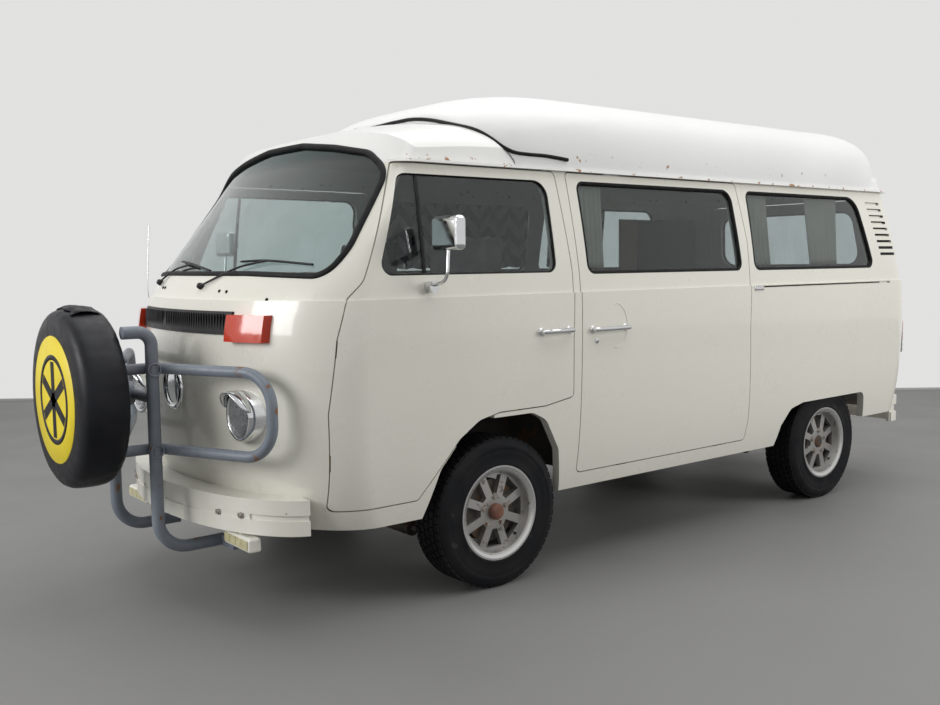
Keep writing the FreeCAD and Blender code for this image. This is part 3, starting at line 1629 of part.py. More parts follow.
def fog_lamps():
    """Slim lamps on stems under the front bumper."""
    top = "bumper_low - fog_drop"
    lamps = []
    for hand, side in (("left", ""), ("right", "-")):
        centre = side + "fog_out"
        low = (centre + " - fog_width / 2", "-fog_front", top + " - fog_tall")
        high = (centre + " + fog_width / 2", "fog_depth - fog_front", top)
        case = bound_box("fog_case_" + hand, low, high)
        case = rounded("fog_form_" + hand, case, S.fog_round, every_edge)
        foot = (centre, "fog_depth / 2 - fog_front", top + " - fog_round")
        stem = bound_rod("fog_stem_" + hand, foot, "fog_drop + fog_round - seat_gap", "fog_stem")
        lamps.append(bound_fuse("fog_lamp_" + hand, [case, stem]))
    bound_node("fog_lamps", lamps)


def mirrors():
    """Door mirrors: a foot on the door's skin, a bent arm and a rounded head."""
    foot = Vector(S.belt_width - S.wall / 2, -S.mirror_foot_along, S.mirror_foot_height)
    reach = Vector(S.mirror_foot_radius * 2, 0, 0)
    base = rod(foot, foot + reach, S.mirror_foot_radius)
    head_low = S.mirror_height - S.mirror_tall / 2
    along = -S.mirror_foot_along + S.mirror_round / 2
    path = [
        foot,
        Vector(S.mirror_out, -S.mirror_foot_along, S.mirror_foot_height + S.mirror_foot_radius),
        Vector(S.mirror_out, along, head_low + S.mirror_round),
    ]
    arm = tube_path(path, S.mirror_arm_radius, [S.mirror_foot_radius * 2])
    corner = Vector(S.mirror_out - S.mirror_width / 2, along - S.mirror_depth / 2, head_low)
    head = Part.makeBox(S.mirror_width, S.mirror_depth, S.mirror_tall, corner)
    head = head.makeFillet(S.mirror_round, head.Edges)
    skin = body_loft(UPPER_LEVELS, -S.seat_gap)
    mirror = largest(fuse([base, arm, head]).cut(skin))
    add_node("mirror_left", mirror)
    add_node("mirror_right", mirrored(mirror))


def gap_lug(hole, filler, low, high):
    """Block that fills a shut line across the body's wall, up to a seat gap from the leaf."""
    return largest(SHELL.common(box(low, high)).common(hole).cut(filler))


def fittings():
    """Hinges in the shut lines of the doors, the tailgate and the lid, and the sliding door's seats."""
    half = S.lug_width / 2
    gap = S.shut_gap - S.seat_gap
    door = side_cutter(grown(DOOR_OUTLINE, -gap))
    gate = end_prism(grown(TAILGATE_OUTLINE, -gap), TAIL_START, TAIL_END)
    lid = end_prism(grown(LID_OUTLINE, -gap), TAIL_START, TAIL_END)
    slider = side_cutter(grown(SLIDER_OUTLINE, -gap))
    lugs = []
    for height in (S.door_hinge_low, S.door_hinge_high):
        low = (0, FORE, height - half)
        lugs.append(gap_lug(DOOR_HOLE, door, low, (WIDE, -S.door_window_front, height + half)))
    low = (S.tailgate_hinge_out - half, S.tail_split, S.tailgate_top - S.tailgate_corner)
    lugs.append(gap_lug(TAILGATE_HOLE, gate, low, (S.tailgate_hinge_out + half, AFT, S.tailgate_top)))
    low = (S.lid_hinge_out - half, S.tail_split, S.lid_top - S.lid_corner)
    lugs.append(gap_lug(LID_HOLE, lid, low, (S.lid_hinge_out + half, AFT, S.lid_top)))
    pieces = []
    for lug in lugs:
        pieces += both_sides(lug)
    for along in (-S.slider_rear, S.slider_rear / 2):
        low = (0, along - half, S.slider_bottom)
        high = (WIDE, along + half, S.slider_bottom + S.door_corner)
        pieces.append(gap_lug(SLIDER_HOLE, slider, low, high))
    add_node("hinges_and_seats", compound(pieces))


# Cab and living space.

DECK_GAP = "wheel_box_height + seat_gap"


def dashboard():
    """Dash under the windscreen, cut to the body's inner curve."""
    front = LAMP_FACE + S.lamp_depth
    block = box((-S.dash_half_width, front, S.dash_low), (S.dash_half_width, -S.dash_rear, S.dash_high))
    edge = [item for item in block.Edges if item.BoundBox.YMin > -S.dash_rear - TOUCH and item.Length > S.wheelbase / 2]
    block = block.makeFillet(S.cushion_round, edge)
    add_node("dashboard", block.common(inside_of_body()))


def steering():
    """Column on the cab floor and the steering wheel at its head, both tilted back."""
    tilt = FreeCAD.Rotation(Vector(1, 0, 0), -S.wheel_tilt)
    centre = ("-wheel_out", "-wheel_reach", "wheel_height")
    ring = document.addObject("Part::Torus", "wheel_ring")
    bind(ring, {"Radius1": "wheel_rim_radius", "Radius2": "wheel_rim_tube"})
    hub = bound_rod("wheel_hub", ("0", "0", "-wheel_hub_depth / 2"), "wheel_hub_depth", "wheel_hub_radius")
    spokes = [bound_rod("wheel_spoke", ("-wheel_rim_radius", "0", "0"), "2 * wheel_rim_radius", "wheel_spoke_radius", ALONG_X)]
    wheel = bound_fuse("wheel_form", [ring, hub] + spokes)
    wheel.Placement = FreeCAD.Placement(Vector(), tilt)
    seated(wheel, *centre)
    bound_node("steering_wheel", [wheel])
    head = Vector(-S.wheel_out, -S.wheel_reach, S.wheel_height)
    line = tilt.multVec(Vector(0, 0, 1))
    start = head - line * (S.wheel_hub_depth / 2 + S.seat_gap)
    floor_box = box((-WIDE, FORE, 0), (WIDE, AFT, S.floor_height + S.seat_gap))
    column = rod(start, head - line * S.wheel_height, S.column_radius).cut(floor_box)
    add_node("steering_column", column)


def cab_seats():
    """Two front seats on the seat base: a cushion and a back each."""
    seats = []
    rear = "cab_seat_depth - cab_seat_front"
    top = DECK_GAP + " + cab_seat_thickness"
    for hand, side in (("left", ""), ("right", "-")):
        centre = side + "cab_seat_out"
        low = (centre + " - cab_seat_width / 2", "-cab_seat_front", DECK_GAP)
        high = (centre + " + cab_seat_width / 2", rear, top)
        cushion = bound_box("seat_cushion_" + hand, low, high)
        low = (low[0], rear + " - cushion_round", DECK_GAP)
        high = (high[0], rear + " - cushion_round + cab_back_thickness", top + " + cab_back_height")
        back = bound_box("seat_back_" + hand, low, high)
        cushion = rounded("seat_cushion_form_" + hand, cushion, S.cushion_round, every_edge)
        back = rounded("seat_back_form_" + hand, back, S.cushion_round, every_edge)
        seats.append(bound_fuse("cab_seat_" + hand, [cushion, back]))
    bound_node("cab_seats", seats)


def living_space():
    """Rear seat, mattress over the engine and the cabinet along the right wall."""
    top = DECK_GAP + " + bench_thickness"
    rear = "bench_front + bench_depth"
    low = ("-bench_width / 2", "bench_front", DECK_GAP)
    cushion = bound_box("bench_cushion", low, ("bench_width / 2", rear, top))
    low = ("-bench_width / 2", rear + " - cab_back_thickness", DECK_GAP)
    back = bound_box("bench_back", low, ("bench_width / 2", rear, top + " + bench_depth"))
    cushion = rounded("bench_cushion_form", cushion, S.cushion_round, every_edge)
    back = rounded("bench_back_form", back, S.cushion_round, every_edge)
    bound_node("rear_seat", [bound_fuse("rear_seat_form", [cushion, back])])
    deck = "engine_deck_height + seat_gap"
    low = ("-mattress_width / 2", "mattress_front", deck)
    high = ("mattress_width / 2", "mattress_front + mattress_depth", deck + " + mattress_thickness")
    pad = rounded("mattress_form", bound_box("mattress_block", low, high), S.cushion_round, every_edge)
    bound_node("mattress", [pad])
    low = ("-cabinet_out", "-cabinet_front", "floor_height + seat_gap")
    high = ("cabinet_depth - cabinet_out", "cabinet_length - cabinet_front", "floor_height + cabinet_height")
    bound_node("cabinet", [bound_box("cabinet_block", low, high)])


def main():
    glazing()
    body_panels()
    doors()
    nose_fittings()
    bumpers()
    floor_pan()
    wheels()
    knuckles()
    front_axle()
    rear_axle()
    engine()
    poptop()
    bull_bar()
    spare()
    tail_lamps()
    fog_lamps()
    mirrors()
    fittings()
    dashboard()
    steering()
    cab_seats()
    living_space()
    write_parts()


def write_parts():
    """Check every object, then write one file for each sub-part."""
    document.recompute()
    for item in document.Objects:
        if "Invalid" in item.State or "Error" in item.State:
            raise RuntimeError("failed object: " + item.Label)
    os.makedirs("parts", exist_ok=True)
    for node in NODES:
        shape = node.Shape
        if shape.isNull() or not shape.isValid():
            raise RuntimeError("bad shape: " + node.Label)
        shape.exportStep("parts/" + node.Label + ".step")


main()
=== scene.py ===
"""Finishes and fine detail of a white camper van with a lifting roof, over its fixed model."""
import logging
import math
from dataclasses import dataclass
from enum import Enum
from typing import Callable, Sequence

import bmesh
import bpy
import numpy as np
from mathutils import Matrix, Vector, noise
from mathutils.bvhtree import BVHTree


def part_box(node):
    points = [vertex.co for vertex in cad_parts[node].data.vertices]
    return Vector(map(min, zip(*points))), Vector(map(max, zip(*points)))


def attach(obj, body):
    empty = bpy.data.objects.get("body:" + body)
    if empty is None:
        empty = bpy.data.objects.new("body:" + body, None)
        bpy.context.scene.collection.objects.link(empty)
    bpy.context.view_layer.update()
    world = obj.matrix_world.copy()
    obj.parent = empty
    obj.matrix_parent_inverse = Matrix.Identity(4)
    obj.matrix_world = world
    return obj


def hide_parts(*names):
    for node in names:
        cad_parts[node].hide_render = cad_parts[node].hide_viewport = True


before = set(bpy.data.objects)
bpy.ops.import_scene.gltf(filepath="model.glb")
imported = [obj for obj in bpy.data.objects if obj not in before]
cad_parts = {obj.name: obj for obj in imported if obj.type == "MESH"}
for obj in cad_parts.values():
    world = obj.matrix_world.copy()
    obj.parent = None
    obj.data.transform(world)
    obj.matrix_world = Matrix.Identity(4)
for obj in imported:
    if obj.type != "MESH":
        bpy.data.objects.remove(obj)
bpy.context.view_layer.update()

log = logging.getLogger("camper")
Point = tuple[float, float, float]
Colour = tuple[float, float, float]
Profile = Sequence[tuple[float, float]]
Line = tuple[Sequence, bool]
Socket = bpy.types.NodeSocket
Node = bpy.types.Node
Piece = bpy.types.Object

LEFTWARD: Point = (1, 0, 0)
AHEAD: Point = (0, -1, 0)
BEHIND: Point = (0, 1, 0)
WHEEL_CENTRE_HEIGHT = 0.315
NOISE_MIDDLE = (0.35, 0.65)
NOISE_WIDE = (0.3, 0.7)
FINE_TIP = 0.0001
TIP = 0.0005


class Side(Enum):
    """The two sides of the van, by the sign of X."""

    LEFT = 1
    RIGHT = -1


class Wear(Enum):
    """Where rust or dirt lies on a finish."""

    NONE = "none"
    ALL_OVER = "all over"
    LOW = "low down"
    RIM = "along a level"


# Materials


class Graph:
    """A short way to write a material's node graph."""

    def __init__(self, name: str) -> None:
        """Start an empty graph.

        Args:
            name: the material's name.
        """
        self.material = bpy.data.materials.new(name)
        self.material.use_nodes = True
        self.tree = self.material.node_tree
        self.shader = self.tree.nodes["Principled BSDF"]
        self.place = self.add("ShaderNodeTexCoord").outputs["Object"]

    def add(self, kind: str, **settings: object) -> Node:
        """Add a node and set its properties.

        Args:
            kind: the node's type name.
            **settings: properties of the node.

        Returns:
            The new node.
        """
        node = self.tree.nodes.new(kind)
        for key, value in settings.items():
            setattr(node, key, value)
        return node

    def join(self, source: Socket, node: Node, socket: str | int) -> None:
        """Link a source to one input of a node."""
        self.tree.links.new(source, node.inputs[socket])

    def spots(self, scale: float, detail: float = 4) -> Socket:
        """Noise in object space.

        Args:
            scale: the noise's scale, larger is finer.
            detail: octaves.

        Returns:
            The noise's factor, near 0.5 on average.
        """
        cloud = self.add("ShaderNodeTexNoise")
        cloud.inputs["Scale"].default_value = scale
        cloud.inputs["Detail"].default_value = detail
        self.join(self.place, cloud, "Vector")
        return cloud.outputs["Fac"]

    def step(self, source: Socket, low: float, high: float) -> Socket:
        """Turn a value into 0 below low and 1 above high, with a smooth ramp.

        Args:
            source: the value.
            low: where the ramp starts.
            high: where the ramp ends.

        Returns:
            The ramped value.
        """
        ramp = self.add("ShaderNodeMapRange", interpolation_type="SMOOTHSTEP")
        self.join(source, ramp, "Value")
        ramp.inputs["From Min"].default_value = low
        ramp.inputs["From Max"].default_value = high
        return ramp.outputs["Result"]

    def combine(self, how: str, first: Socket, second: Socket | float) -> Socket:
        """Combine two values.

        Args:
            how: the operation's name.
            first: the first value.
            second: the second value, a socket or a number.

        Returns:
            The result.
        """
        node = self.add("ShaderNodeMath", operation=how)
        self.join(first, node, 0)
        if isinstance(second, (int, float)):
            node.inputs[1].default_value = second
        else:
            self.join(second, node, 1)
        return node.outputs[0]

    def axis(self, letter: str) -> Socket:
        """One coordinate of the place on the object.

        Args:
            letter: X, Y or Z.

        Returns:
            The coordinate, in metres.
        """
        split = self.add("ShaderNodeSeparateXYZ")
        self.join(self.place, split, 0)
        return split.outputs[letter]

    def mix(self, share: Socket, first: object, second: object) -> Socket:
        """Mix two colours.

        Args:
            share: how much of the second shows.
            first: a colour or a socket.
            second: a colour or a socket.

        Returns:
            The mixed colour.
        """
        node = self.add("ShaderNodeMix", data_type="RGBA")
        self.join(share, node, "Factor")
        for slot, value in ((6, first), (7, second)):
            if isinstance(value, tuple):
                node.inputs[slot].default_value = (*value, 1)
            else:
                self.join(value, node, slot)
        return node.outputs[2]

    def bump(self, height: Socket, depth: float, strength: float = 1) -> None:
        """Raise the surface by a height map.

        Args:
            height: the map, from 0 to 1.
            depth: how deep it is, in metres.
            strength: how much of it shows.
        """
        node = self.add("ShaderNodeBump")
        node.inputs["Distance"].default_value = depth
        node.inputs["Strength"].default_value = strength
        self.join(height, node, "Height")
        self.join(node.outputs[0], self.shader, "Normal")

    def rough(self, source: Socket, low: float, high: float) -> None:
        """Let a value vary the roughness between two levels.

        Args:
            source: the value.
            low: the lowest roughness.
            high: the highest roughness.
        """
        ramp = self.add("ShaderNodeMapRange")
        self.join(source, ramp, "Value")
        ramp.inputs["From Min"].default_value, ramp.inputs["From Max"].default_value = NOISE_WIDE
        ramp.inputs["To Min"].default_value = low
        ramp.inputs["To Max"].default_value = high
        self.join(ramp.outputs[0], self.shader, "Roughness")

    def paint(self, colour: Socket) -> None:
        """Use a colour as the surface's own."""
        self.join(colour, self.shader, "Base Color")

    def set(self, **values: object) -> None:
        """Set constants on the shader's own sockets, named with underscores for spaces."""
        for key, value in values.items():
            self.shader.inputs[key.replace("_", " ")].default_value = value


@dataclass(frozen=True)
class Finish:
    """A mottled, slightly uneven surface with optional wear."""

    name: str
    colour: Colour
    shade: Colour
    rough: tuple[float, float] = (0.3, 0.4)
    mottle: float = 3.0
    grain: float = 300.0
    depth: float = 0.0001
    wear: Wear = Wear.NONE
    wear_colour: Colour = (0.16, 0.06, 0.025)
    wear_scale: float = 14.0
    wear_from: float = 0.66
    wear_blend: float = 0.05
    level: float = 0.0
    fade: float = 0.25
    rim_reach: tuple[float, float] = (0.035, 0.008)
    shader: tuple[tuple[str, float], ...] = ()

    def build(self) -> bpy.types.Material:
        """Make the material.

        Returns:
            The new material.
        """
        graph = Graph(self.name)
        cloud = graph.spots(self.mottle)
        colour = graph.mix(graph.step(cloud, *NOISE_MIDDLE), self.colour, self.shade)
        if self.wear is not Wear.NONE:
            worn = graph.spots(self.wear_scale, 8)
            mask = graph.step(worn, self.wear_from, self.wear_from + self.wear_blend)
            if self.wear is Wear.LOW:
                near = graph.step(graph.axis("Z"), self.level, self.level - self.fade)
                mask = graph.combine("MULTIPLY", mask, near)
            if self.wear is Wear.RIM:
                gap = graph.combine("SUBTRACT", graph.axis("Z"), self.level)
                near = graph.step(graph.combine("ABSOLUTE", gap, 0), *self.rim_reach)
                mask = graph.combine("MULTIPLY", mask, near)
            colour = graph.mix(mask, colour, self.wear_colour)
        graph.paint(colour)
        graph.rough(graph.spots(self.mottle * 4), *self.rough)
        graph.bump(graph.spots(self.grain, 2), self.depth)
        for key, value in self.shader:
            graph.set(**{key: value})
        return graph.material


@dataclass(frozen=True)
class RimFinish(Finish):
    """Cast alloy with a polished lip, centred on one axle."""

    axle: float = 0.0
    lip: float = 0.176
    grime: Colour = (0.22, 0.2, 0.17)
    polish: Colour = (0.62, 0.62, 0.61)

    def build(self) -> bpy.types.Material:
        """Make the material.

        Returns:
            The new material.
        """
        graph = Graph(self.name)
        along = graph.combine("SUBTRACT", graph.axis("Y"), self.axle)
        up = graph.combine("SUBTRACT", graph.axis("Z"), WHEEL_CENTRE_HEIGHT)
        square = graph.combine("MULTIPLY", along, along)
        square = graph.combine("ADD", square, graph.combine("MULTIPLY", up, up))
        lip = graph.step(graph.combine("SQRT", square, 0), self.lip, self.lip + 0.003)
        cloud = graph.step(graph.spots(self.mottle), *NOISE_MIDDLE)
        cast = graph.mix(cloud, self.colour, self.shade)
        cast = graph.mix(graph.step(graph.spots(40, 8), 0.6, 0.68), cast, self.grime)
        graph.paint(graph.mix(lip, cast, self.polish))
        uneven = graph.combine("MULTIPLY", cloud, 0.1)
        smoother = graph.combine("SUBTRACT", graph.combine("MULTIPLY", lip, 0.22), 0.42)
        graph.join(graph.combine("SUBTRACT", uneven, smoother), graph.shader, "Roughness")
        graph.bump(graph.spots(420, 2), 0.0002)
        graph.set(Metallic=0.85)
        return graph.material


@dataclass(frozen=True)
class GlassFinish:
    """Tinted glass, with an optional darker band above a level."""

    name: str
    tint: Colour
    band: Colour | None = None
    level: float = 0.0
    blend: float = 0.07

    def build(self) -> bpy.types.Material:
        """Make the material.

        Returns:
            The new material.
        """
        graph = Graph(self.name)
        haze = graph.step(graph.spots(5), *NOISE_WIDE)
        colour = graph.mix(haze, self.tint, tuple(0.93 * part for part in self.tint))
        if self.band:
            share = graph.step(graph.axis("Z"), self.level, self.level + self.blend)
            colour = graph.mix(share, colour, self.band)
        graph.paint(colour)
        graph.rough(graph.spots(30), 0.0, 0.03)
        graph.set(Transmission_Weight=1.0, IOR=1.45)
        return graph.material


@dataclass(frozen=True)
class WovenFinish:
    """Cloth with a weave that follows the piece's own UV map, plain or with a zigzag."""

    name: str
    colour: Colour
    second: Colour
    zigzag: float = 0.0
    weave: float = 900.0

    def build(self) -> bpy.types.Material:
        """Make the material.

        Returns:
            The new material.
        """
        graph = Graph(self.name)
        spot = graph.add("ShaderNodeUVMap", uv_map="UVMap").outputs[0]
        split = graph.add("ShaderNodeSeparateXYZ")
        graph.join(spot, split, 0)
        across, down = split.outputs["X"], split.outputs["Y"]
        if self.zigzag:
            bend = graph.combine("PINGPONG", across, self.zigzag)
            lines = graph.combine("PINGPONG", graph.combine("ADD", down, bend), self.zigzag * 0.7)
            share = graph.step(lines, self.zigzag * 0.3, self.zigzag * 0.4)
        else:
            share = graph.step(graph.spots(12), *NOISE_WIDE)
        graph.paint(graph.mix(share, self.colour, self.second))
        warp, weft = (
            graph.combine("SINE", graph.combine("MULTIPLY", way, self.weave * 3), 0)
            for way in (across, down)
        )
        graph.bump(graph.combine("MULTIPLY", warp, weft), 0.0004, 0.6)
        graph.rough(graph.spots(20), 0.85, 0.95)
        graph.set(Sheen_Weight=0.25)
        return graph.material


CREAM = (0.77, 0.755, 0.675)
CREAM_SHADE = (0.745, 0.73, 0.65)
GLOSS = (("Coat Weight", 0.6), ("Coat Roughness", 0.06))
BODY = Finish(
    "cream_paint", CREAM, CREAM_SHADE, rough=(0.25, 0.36), mottle=1.6, grain=120, depth=0.00008,
    wear=Wear.LOW, wear_colour=(0.3, 0.19, 0.11), wear_scale=30, wear_from=0.74, level=0.56,
    shader=GLOSS,
)
ROOF = Finish(
    "roof_white", (0.8, 0.8, 0.775), (0.77, 0.77, 0.745), rough=(0.3, 0.45), mottle=2, grain=140,
    depth=0.0001, wear=Wear.RIM, wear_colour=(0.33, 0.16, 0.07), wear_scale=26, wear_from=0.6,
    level=1.742, shader=GLOSS,
)
POPTOP = Finish(
    "top_white", (0.8, 0.805, 0.79), (0.775, 0.78, 0.765), rough=(0.34, 0.46), mottle=2.4,
    grain=140, depth=0.00015, wear=Wear.RIM, wear_colour=(0.36, 0.17, 0.07), wear_scale=30,
    wear_from=0.66, level=1.79, shader=(("Coat Weight", 0.3),),
)
BUMPER = Finish(
    "bumper_white", (0.78, 0.765, 0.69), (0.74, 0.725, 0.645), rough=(0.3, 0.42), mottle=4,
    grain=160, depth=0.0001, wear=Wear.ALL_OVER, wear_colour=(0.3, 0.15, 0.07), wear_scale=20,
    wear_from=0.71, shader=GLOSS,
)
GUARD = Finish(
    "guard_blue_grey", (0.2, 0.225, 0.262), (0.165, 0.19, 0.225), rough=(0.38, 0.55), mottle=8,
    grain=260, depth=0.0004, wear=Wear.ALL_OVER, wear_colour=(0.2, 0.095, 0.05), wear_scale=16,
    wear_from=0.645,
)
DULL = (("Specular IOR Level", 0.18),)
RUBBER = Finish(
    "black_rubber", (0.006, 0.006, 0.007), (0.012, 0.012, 0.012), rough=(0.45, 0.65), mottle=20,
    grain=500, depth=0.0002, shader=DULL,
)
TYRE = Finish(
    "tyre_rubber", (0.007, 0.0075, 0.009), (0.013, 0.013, 0.014), rough=(0.5, 0.7), mottle=9,
    grain=260, depth=0.0004, wear=Wear.ALL_OVER, wear_colour=(0.03, 0.029, 0.027), wear_scale=12,
    wear_from=0.66, shader=DULL,
)
CHROME = Finish(
    "chrome", (0.72, 0.73, 0.74), (0.66, 0.67, 0.68), rough=(0.05, 0.14), mottle=14, grain=200,
    depth=0.00005, wear=Wear.ALL_OVER, wear_colour=(0.3, 0.2, 0.13), wear_scale=60, wear_from=0.72,
    shader=(("Metallic", 1.0),),
)
STEEL = Finish(
    "dark_steel", (0.05, 0.048, 0.046), (0.1, 0.085, 0.07), rough=(0.5, 0.7), mottle=14, grain=200,
    depth=0.0005, wear=Wear.ALL_OVER, wear_colour=(0.14, 0.07, 0.035), wear_scale=18,
    wear_from=0.55, shader=(("Metallic", 0.5),),
)
RUST = Finish(
    "rusty_steel", (0.19, 0.09, 0.045), (0.1, 0.05, 0.03), rough=(0.7, 0.9), mottle=30, grain=240,
    depth=0.0008,
)
FLOOR = Finish(
    "underbody", (0.05, 0.05, 0.048), (0.09, 0.08, 0.068), rough=(0.6, 0.8), mottle=8, grain=180,
    depth=0.0006, wear=Wear.ALL_OVER, wear_colour=(0.15, 0.08, 0.04), wear_scale=12, wear_from=0.6,
)
PLASTIC = Finish(
    "black_plastic", (0.01, 0.01, 0.011), (0.017, 0.017, 0.017), rough=(0.35, 0.5), mottle=16,
    grain=700, depth=0.0002, shader=(("Specular IOR Level", 0.3),),
)
# Near-black painted shade: stands in for the shade inside the louvre slots and for the shaded
# cupboard seen through the windows.
PAINTED_SHADE = Finish(
    "painted_shade_black", (0.006, 0.006, 0.006), (0.01, 0.01, 0.01), rough=(0.8, 0.9), mottle=10, grain=200,
    depth=0.0002,
)
PINE = Finish(
    "pine_panel", (0.42, 0.24, 0.11), (0.33, 0.18, 0.08), rough=(0.4, 0.5), grain=90, depth=0.0002
)
VINYL = Finish(
    "black_vinyl", (0.005, 0.0055, 0.008), (0.009, 0.0095, 0.013), rough=(0.34, 0.5), mottle=7,
    grain=420, depth=0.0004, shader=(("Specular IOR Level", 0.25),),
)
YELLOW = Finish(
    "yellow_print", (0.83, 0.67, 0.025), (0.78, 0.61, 0.02), rough=(0.4, 0.5), mottle=7, grain=420,
    depth=0.0003,
)
ORANGE = Finish(
    "turn_lens", (0.6, 0.045, 0.012), (0.55, 0.04, 0.011), rough=(0.08, 0.16), mottle=9, grain=40,
    depth=0.0002, shader=(("Coat Weight", 0.7), ("Subsurface Weight", 0.1)),
)
RED = Finish(
    "tail_lens", (0.42, 0.012, 0.008), (0.34, 0.008, 0.006), rough=(0.08, 0.18), mottle=30,
    grain=60, depth=0.0006, shader=(("Coat Weight", 0.7),),
)
REFLECTOR = Finish(
    "reflector", (0.9, 0.91, 0.92), (0.8, 0.81, 0.83), rough=(0.2, 0.3), mottle=6, grain=90,
    depth=0.00005, shader=(("Metallic", 0.9),),
)
FOG_LENS = Finish(
    "fog_lens", (0.62, 0.58, 0.34), (0.55, 0.5, 0.28), rough=(0.08, 0.2), mottle=40, grain=90,
    depth=0.0004, shader=(("Coat Weight", 0.8),),
)
ZINC = Finish(
    "zinc_bolt", (0.5, 0.48, 0.45), (0.4, 0.36, 0.32), rough=(0.3, 0.45), mottle=40, grain=300,
    depth=0.0003, wear=Wear.ALL_OVER, wear_colour=(0.25, 0.13, 0.07), wear_scale=60, wear_from=0.6,
    shader=(("Metallic", 0.9),),
)
PLATE = Finish(
    "blank_plate", (0.6, 0.6, 0.57), (0.55, 0.55, 0.52), rough=(0.4, 0.5), mottle=9, grain=200,
    depth=0.0002,
)
HUB_RUST = Finish(
    "hub_rust", (0.2, 0.09, 0.06), (0.14, 0.06, 0.04), rough=(0.5, 0.7), mottle=30, grain=300,
    depth=0.0004,
)
RIM_FRONT = RimFinish("cast_alloy_front", (0.5, 0.49, 0.47), (0.42, 0.41, 0.39), axle=-0.9515)
RIM_REAR = RimFinish("cast_alloy_rear", (0.5, 0.49, 0.47), (0.42, 0.41, 0.39), axle=1.4485)
CLEAR = GlassFinish("side_glass_clear", (0.62, 0.68, 0.68))
SCREEN = GlassFinish("windscreen_tinted", (0.62, 0.72, 0.7), band=(0.03, 0.22, 0.21), level=1.735)
LENS = GlassFinish("lamp_glass", (0.95, 0.96, 0.96))
CURTAIN = WovenFinish("cream_curtain", (0.82, 0.81, 0.74), (0.77, 0.76, 0.69))
CHEVRON = WovenFinish("zigzag_curtain", (0.06, 0.095, 0.115), (0.5, 0.52, 0.5), zigzag=0.085)
UPHOLSTERY = WovenFinish("teal_upholstery", (0.03, 0.13, 0.17), (0.04, 0.16, 0.2))
GREY_CLOTH = WovenFinish("grey_upholstery", (0.11, 0.11, 0.11), (0.15, 0.15, 0.145))

MADE: dict[str, bpy.types.Material] = {}


def material(finish: object) -> bpy.types.Material:
    """Build a finish once and reuse it.

    Args:
        finish: one of the finishes.

    Returns:
        Its material.
    """
    if finish.name not in MADE:
        MADE[finish.name] = finish.build()
    return MADE[finish.name]


# Meshes


def piece(
    name: str, points: Sequence, faces: Sequence, finish: object, smooth: bool = True
) -> Piece:
    """Make a mesh object at the origin.

    Args:
        name: the piece's name.
        points: its vertices, in metres in the row frame.
        faces: vertex numbers of each face.
        finish: what it is finished with.
        smooth: whether it is shaded smooth.

    Returns:
        The object, with its normals turned outwards.
    """
    mesh = bpy.data.meshes.new(name)
    mesh.from_pydata([tuple(p) for p in points], [], [tuple(f) for f in faces])
    work = bmesh.new()
    work.from_mesh(mesh)
    bmesh.ops.remove_doubles(work, verts=work.verts, dist=1e-6)
    bmesh.ops.recalc_face_normals(work, faces=work.faces)
    for face in work.faces:
        face.smooth = smooth
    work.to_mesh(mesh)
    work.free()
    mesh.materials.append(material(finish))
    made = bpy.data.objects.new(name, mesh)
    bpy.context.collection.objects.link(made)
    return made


def grid(
    rows: int, columns: int, ring_rows: bool = False, ring_columns: bool = False
) -> list[tuple]:
    """Faces over rows of vertices.

    Args:
        rows: how many rows.
        columns: how many vertices in each row.
        ring_rows: whether the last row joins the first.
        ring_columns: whether each row's end joins its start.

    Returns:
        The vertex numbers of each face.
    """
    faces = []
    for row in range(rows if ring_rows else rows - 1):
        here, below = row * columns, (row + 1) % rows * columns
        for column in range(columns if ring_columns else columns - 1):
            after = (column + 1) % columns
            faces.append((here + column, here + after, below + after, below + column))
    return faces


def thicken(made: Piece, thickness: float) -> None:
    """Give a thin piece a thickness."""
    made.modifiers.new("thick", "SOLIDIFY").thickness = thickness


def soften(made: Piece, levels: int = 1) -> None:
    """Subdivide a piece smoothly."""
    soft = made.modifiers.new("soft", "SUBSURF")
    soft.levels = soft.render_levels = levels


def hand_over(made: Piece, body: str) -> None:
    """Let a finished piece ride on a body.

    Args:
        made: the piece.
        body: the body's name.
    """
    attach(made, body)
    log.info("%s on %s: %d faces", made.name, body, len(made.data.polygons))


def join(name: str, parts: Sequence[Piece]) -> Piece:
    """Join several pieces into one mesh, keeping each one's finish.

    Args:
        name: the new piece's name.
        parts: the pieces, which are used up.

    Returns:
        The joined object.
    """
    work = bmesh.new()
    slots: list[bpy.types.Material] = []
    for part in parts:
        start = len(work.faces)
        work.from_mesh(part.data)
        work.faces.ensure_lookup_table()
        numbers = []
        for found in part.data.materials:
            if found not in slots:
                slots.append(found)
            numbers.append(slots.index(found))
        for face in work.faces[start:]:
            face.material_index = numbers[face.material_index] if numbers else 0
    mesh = bpy.data.meshes.new(name)
    work.to_mesh(mesh)
    work.free()
    for found in slots:
        mesh.materials.append(found)
    for part in parts:
        bpy.data.objects.remove(part)
    made = bpy.data.objects.new(name, mesh)
    bpy.context.collection.objects.link(made)
    return made


def lathe(
    name: str, profile: Profile, centre: Point, along: Point, finish: object, turns: int = 48
) -> Piece:
    """Turn a profile about an axis.

    Args:
        name: the piece's name.
        profile: (radius, height) points; a tip's radius at an end all but closes it.
        centre: where height 0 is.
        along: the axis, in the direction of height.
        finish: the finish.
        turns: steps round.

    Returns:
        The turned piece.
    """
    turn = Vector(along).normalized().to_track_quat("Z", "Y")
    points = []
    for radius, height in profile:
        for step in range(turns):
            angle = 2 * math.pi * step / turns
            spot = Vector((radius * math.cos(angle), radius * math.sin(angle), height))
            points.append(Vector(centre) + turn @ spot)
    return piece(name, points, grid(len(profile), turns, ring_columns=True), finish)


